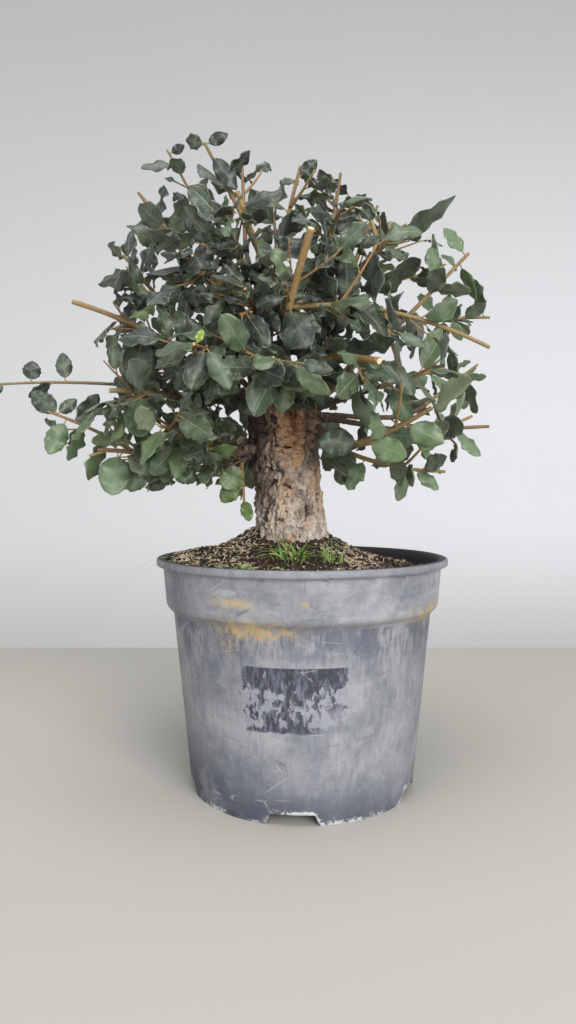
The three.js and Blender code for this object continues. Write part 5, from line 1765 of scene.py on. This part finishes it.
def crumbly_height(x, y):
    """The soil's surface with its lumps and crumbs."""
    p = np.stack([x, y, x * 0], -1)
    lumps = sum(tall * noise(p / wide, seed) for tall, wide, seed in SOIL_LUMPS)
    rim = smooth(SOIL_REACH, SOIL_REACH - 8, np.hypot(x, y))
    return soil_height(x, y) + lumps * (0.35 + 0.65 * rim)


def straw_share(x, y):
    """How much of the ground is covered by pale chips: the mound's flanks and the right-hand front."""
    p = np.stack([x, y, x * 0], -1)
    left = smooth(-22, -40, x)
    right = smooth(8, 22, x) * smooth(70, 52, x)
    behind = smooth(-10, 12, y)
    flank = np.maximum(np.maximum(left, right), behind * 0.8)
    patches = 0.42 * noise(p / 13, 55) + 0.5 * noise(p / 5, 56) + 0.2 * noise(p / 2.4, 57)
    return np.clip(0.06 + 0.74 * flank + patches, 0.03, 0.96)


def build_soil():
    """The soil from the floor plate up to its crumbly surface, and the chips on it."""
    skin = Skin()
    angles = round_angles(SOIL_COLUMNS)
    radii = SOIL_REACH * np.linspace(1, 0.02, SOIL_RINGS) ** 0.8
    radius, angle = np.meshgrid(radii, angles, indexing="ij")
    x, y = radius * np.cos(angle), radius * np.sin(angle)
    top = np.stack([x, y, crumbly_height(x, y)], 2)
    outline = [(body_radius(PLATE_TOP), PLATE_TOP + GAP), (BODY_RADIUS_TOP, BODY_TOP + 2),
               (BAND_RADIUS_BOTTOM, BAND_BOTTOM + 2.4)]
    low = np.array([ring_points(r - POT_WALL - SOIL_GAP, angles, z) for r, z in outline])
    rows = np.concatenate([low, top])
    ends = [(0, 0, PLATE_TOP + GAP), (0, 0, crumbly_height(np.zeros(1), np.zeros(1))[0])]
    skin.add(np.concatenate([rows.reshape(-1, 3), ends]), closed_faces(len(rows), SOIL_COLUMNS))
    skin.piece("soil_surface", [soil_earth()], "soil", ["soil"])
    scatter_chips()


CHIP_CORNERS = np.array([(x, y, z) for z in (-1, 1) for y in (-1, 1) for x in (-1, 1)], float)
CHIP_FACES = np.array([(0, 2, 3, 1), (4, 5, 7, 6), (0, 1, 5, 4), (2, 6, 7, 3), (0, 4, 6, 2), (1, 3, 7, 5)])
CHIP_COUNT = 10000
CHIP_SEED = 5
SLOPE_STEP = 2.0


def scatter_chips():
    """Closed slivers that lie on the slope, turned at random, pale straw, brown bark or dark crumbs."""
    random = np.random.default_rng(CHIP_SEED)
    skin = Skin()
    angle = random.uniform(0, 2 * np.pi, CHIP_COUNT)
    radius = (SOIL_REACH - 2) * np.sqrt(random.uniform(0.03, 1, CHIP_COUNT))
    x, y = radius * np.cos(angle), radius * np.sin(angle)
    z = crumbly_height(x, y)
    fall_x, fall_y = z - crumbly_height(x + SLOPE_STEP, y), z - crumbly_height(x, y + SLOPE_STEP)
    slope = np.stack([fall_x, fall_y, np.full(CHIP_COUNT, SLOPE_STEP)], 1)
    slope /= np.linalg.norm(slope, axis=1)[:, None]
    straw = random.uniform(0, 1, CHIP_COUNT) < straw_share(x, y)
    on_trunk = np.hypot(x - TRUNK_X, y) < ROOT_RADIUS + 1
    reddish = 0.05 + 0.2 * smooth(-20, -40, y) * smooth(4, -14, x) * smooth(-60, -40, x)
    for k in np.flatnonzero(~on_trunk):
        way = random.normal(size=3)
        way = unit(way - slope[k] * (way @ slope[k]) * random.uniform(0.6, 1.0))
        side = unit(np.cross(slope[k], way))
        up = np.cross(way, side)
        if straw[k]:
            long = random.uniform(0.5, 1.4) * (1 + 1.6 * random.uniform(0, 1) ** 6)
            half = np.array([long, random.uniform(0.2, 0.62), random.uniform(0.12, 0.3)])
            tint = (1.0, random.uniform(0, 1) ** 1.3, 0)
        else:
            size = random.uniform(0.35, 1.25)
            half = size * np.array([1, random.uniform(0.5, 0.9), random.uniform(0.35, 0.7)])
            tint = (0.0, random.uniform(0, 1), float(random.uniform(0, 1) < reddish[k]))
        corners = CHIP_CORNERS * half * random.uniform(0.75, 1.2, (8, 3))
        middle = np.array([x[k], y[k], z[k]]) + slope[k] * half[2] * 0.8
        points = middle + corners[:, :1] * way + corners[:, 1:2] * side + corners[:, 2:] * up
        skin.add(points, [CHIP_FACES], 0, tint=tint)
    skin.piece("soil_chips", [chips()], "soil", flat=True)


def soil_earth():
    """Dark crumbly potting soil with brown fibres."""
    paint = Paint("soil_earth")
    cloud = paint.noise(0.008, 5, 0.65)
    crumb = paint.noise(0.0016, 5, 0.7)
    colour = paint.blend(cloud, (30, 26, 25), (58, 49, 43))
    colour = paint.coat(colour, paint.step(0.6, 0.72, crumb), 0.5, (130, 112, 92))
    height = paint.plus(crumb, paint.noise(0.0007, 3))
    return paint.done(colour, 0.95, paint.bump(height, 0.0012), Specular_IOR_Level=0.25)


def chips():
    """Straw, bark and crumbs, each of its own shade."""
    paint = Paint("chips")
    straw, shade, red = paint.attribute("tint")
    grain = paint.noise(0.001, 4, 0.6)
    pale = paint.blend(shade, (166, 146, 116), (230, 218, 192))
    dark = paint.blend(shade, (28, 24, 23), (78, 62, 52))
    dark = paint.coat(dark, red, 1, (112, 76, 56))
    colour = paint.mix(straw, dark, pale)
    colour = paint.coat(colour, grain, 0.35, (70, 54, 40))
    return paint.done(colour, 0.88, paint.bump(grain, 0.0003))


# Grass, moss and stalks.
TUFT_BLADES = (70, 22)
GRASS_SEED, MOSS_SEED = 300, 640
STALK = [(-3, -46, 180), (7, -46, 192), (11, -45, 206)]
MOSS_COUNT = 60
FIBRES = [(-104, -38, 3), (-110, -18, 5), (-98, -52, 4)]
BLADE_STEPS = 9


def level_way(angle):
    """A level way, one unit long."""
    return vec((math.cos(angle), math.sin(angle), 0))


def build_grass():
    """Fine blades that fan out of each tuft."""
    for k, tuft in enumerate(TUFTS):
        random = Draws(GRASS_SEED + k)
        skin = Skin()
        for j in range(TUFT_BLADES[k]):
            angle = TURN * j
            lean = tuft["spread"] * random.between(0.3, 1.9)
            tall = tuft["tall"] * random.between(0.2, 1.0)
            away = tuft["root"] * random.between(0.1, 2.4)
            x = tuft["x"] + 1 + 1.4 * away * math.cos(angle)
            y = tuft["y"] + away * math.sin(angle)
            foot = vec((x, y, float(soil_height(x, y)) - 1))
            out = level_way(angle + random.between(-1.6, 1.6))
            bend = foot + out * tall * 0.3 * lean + UP * tall * random.between(0.5, 0.75)
            tip = foot + out * tall * 1.05 * lean + UP * tall * max(1.1 - 0.62 * lean, 0.3)
            add_grass(skin, Curve(foot, bend, tip), random.between(0.35, 0.85), random)
        skin.piece(tuft["name"] + "_blades", [grass_green()], "grass", [tuft["name"]])
    build_moss()


def build_moss():
    """Small leafy bits along the front rim, one pale grass stalk and thin dry fibres over the rim."""
    random = Draws(MOSS_SEED)
    skin = Skin()
    for _ in range(MOSS_COUNT):
        angle = math.radians(random.between(-128, -52))
        away = SOIL_REACH - random.between(3, 22)
        x, y = away * math.cos(angle), away * math.sin(angle)
        foot = vec((x, y, float(soil_height(x, y)) - 0.6))
        for _ in range(3):
            out = level_way(FULL_TURN * random())
            tall = random.between(1.6, 4.2)
            tip = foot + out * tall * random.between(0.3, 1.0) + UP * tall
            add_grass(skin, Curve(foot, foot + UP * tall * 0.6, tip), random.between(0.5, 1.0), random)
    add_grass(skin, Curve(*STALK), 0.55, random, (1.0, 0.9, 0))
    for x, y, drop in FIBRES:
        foot = vec((x, y, POT_HEIGHT + 0.2))
        out = unit(vec((x, y, 0)))
        fibre = Curve(foot - out * 14 - UP * 3, foot + UP * drop, foot + out * 14 - UP * 9)
        add_grass(skin, fibre, 0.14, random, (0.2, 1.0, 0))
    skin.piece("moss_and_stalks", [grass_green()], "grass")


def add_grass(skin, curve, wide, random, tint=None):
    """One flat blade, folded along its middle and drawn out to a point."""
    t = np.linspace(0, 1, BLADE_STEPS)
    middle = np.array([curve.at(x) for x in t])
    heading = np.array([curve.heading(x) for x in t])
    side = level_way(FULL_TURN * random())
    side = side - heading * (heading @ side)[:, None]
    side /= np.linalg.norm(side, axis=1)[:, None]
    out = np.cross(side, heading)
    half = (wide * (1 - t ** 2.2) + 0.06)[:, None]
    thick = (0.14 * (1 - 0.6 * t))[:, None]
    ring = np.stack([middle - side * half + out * thick * 1.5, middle - out * thick,
                     middle + side * half + out * thick * 1.5, middle + out * thick], 1)
    points = ring.reshape(-1, 3)
    last = len(points) - 4
    along = np.repeat(t, 4)
    faces = [grid_faces(BLADE_STEPS, 4, True), [[3, 2, 1, 0]], [[last, last + 1, last + 2, last + 3]]]
    marks = np.column_stack([along, along * 0, along * 0])
    skin.add(points, faces, 0, marks, tint or (random(), random(), 0))


def grass_green():
    """Blades from deep to light green, some dry, paler at the foot."""
    paint = Paint("grass_green")
    along, _, _ = paint.attribute("mark")
    shade, dry, _ = paint.attribute("tint")
    colour = paint.blend(shade, (50, 92, 34), (146, 190, 82))
    colour = paint.coat(colour, paint.step(0.82, 0.94, dry), 1, (190, 184, 128))
    colour = paint.coat(colour, paint.step(0.3, 0.0, along), 0.6, (150, 160, 92))
    fibre = paint.noise(0.0007, 3, 0.6, paint.stretched(1, 1, 0.2))
    return paint.done(colour, 0.5, paint.bump(fibre, 0.0001))


# The camera, soft lights, a pale floor and a plain backdrop.
CAMERA_DOWN = math.radians(1.45)
LENS, SENSOR = 24.43, 36
DAYLIGHT, DAYLIGHT_STRENGTH = (0.92, 0.93, 0.95, 1), 0.5
FLOOR = {"near": -3.0, "far": 0.45, "wide": 3.0}
BACKDROP = {"away": 2.4, "wide": 6, "low": -2, "high": 5}

# The soft lamps: where each is, the height that it looks at on the pot's axis, its breadth and its power.
LAMPS = [
    ("overhead", (-0.1, -0.4, 1.7), 0.3, 1.1, 14),
    ("front", (0.85, -1.7, 0.7), 0.22, 1.2, 40),
    ("low_left", (-1.3, -1.5, 0.4), 0.25, 1.2, 10),
]


def flat_paint(name, colour):
    """A matt colour with a faint cloud in it."""
    paint = Paint(name)
    return paint.done(paint.mix(paint.noise(0.4, 2), colour, tuple(c * 0.97 for c in colour)), 0.8)


def wall_glow():
    """The backdrop's own soft glow: brightest low and to the right, dimmer at the top and at the floor."""
    paint = Paint("backdrop_pale")
    split = paint.node("ShaderNodeSeparateXYZ", i0=paint.place)
    x, z = split.outputs[0], split.outputs[2]
    across_wall = paint.scaled(paint.step(-1.4, 1.4, x), 0.4, 0.6)
    glow = paint.times(paint.step(2.6, 0.5, z), across_wall)
    glow = paint.times(glow, paint.step(-0.6, 0.16, z))
    paint.feed(paint.shader.inputs["Emission Color"], paint.mix(glow, (0.36, 0.36, 0.36), (0.65, 0.66, 0.68)))
    colour = paint.blend(paint.noise(0.4, 2), (118, 118, 119), (124, 124, 125))
    return paint.done(colour, 0.8, Emission_Strength=1.0)


def stage_sheet(name, corners, material):
    """A flat sheet for the stage, not ridden on the part's body."""
    mesh = bpy.data.meshes.new(name)
    mesh.from_pydata(corners, [], [(0, 1, 2, 3)])
    mesh.materials.append(material)
    made = put(name, mesh)


def soft_light(name, at, height, size, watts):
    """A round soft lamp that looks at the pot's axis."""
    data = bpy.data.lights.new(name, "AREA")
    data.shape = "DISK"
    data.size = size
    data.energy = watts
    made = put(name, data)
    made.location = at
    x, y, z = np.array((0, 0, height)) - np.array(at)
    made.rotation_euler = (math.atan2(math.hypot(x, y), -z), 0, math.atan2(y, x) - math.pi / 2)


def build_stage():
    """Floor, backdrop, daylight, three lamps and the camera."""
    scene = bpy.context.scene
    near, far, wide = FLOOR["near"], FLOOR["far"], FLOOR["wide"]
    corners = [(-wide, near, 0), (wide, near, 0), (wide, far, 0), (-wide, far, 0)]
    stage_sheet("floor", corners, flat_paint("floor_pale", linear(183, 180, 172)))
    away, wide, low, high = BACKDROP["away"], BACKDROP["wide"], BACKDROP["low"], BACKDROP["high"]
    corners = [(-wide, away, low), (wide, away, low), (wide, away, high), (-wide, away, high)]
    stage_sheet("backdrop", corners, wall_glow())
    world = bpy.data.worlds.new("studio")
    world.use_nodes = True
    sky = world.node_tree.nodes["Background"].inputs
    sky["Color"].default_value = DAYLIGHT
    sky["Strength"].default_value = DAYLIGHT_STRENGTH
    scene.world = world
    for lamp in LAMPS:
        soft_light(*lamp)
    camera = bpy.data.cameras.new("camera")
    camera.lens = LENS
    camera.sensor_width = SENSOR
    made = put("camera", camera)
    made.location = EYE * MM + AXIS
    made.rotation_euler = (math.pi / 2 - CAMERA_DOWN, 0, 0)
    scene.camera = made
    scene.view_settings.view_transform = "Standard"


build_stage()
pot_wall()
pot_floor()
build_soil()
build_grass()
build_trunk()
build_limbs()
build_crown()
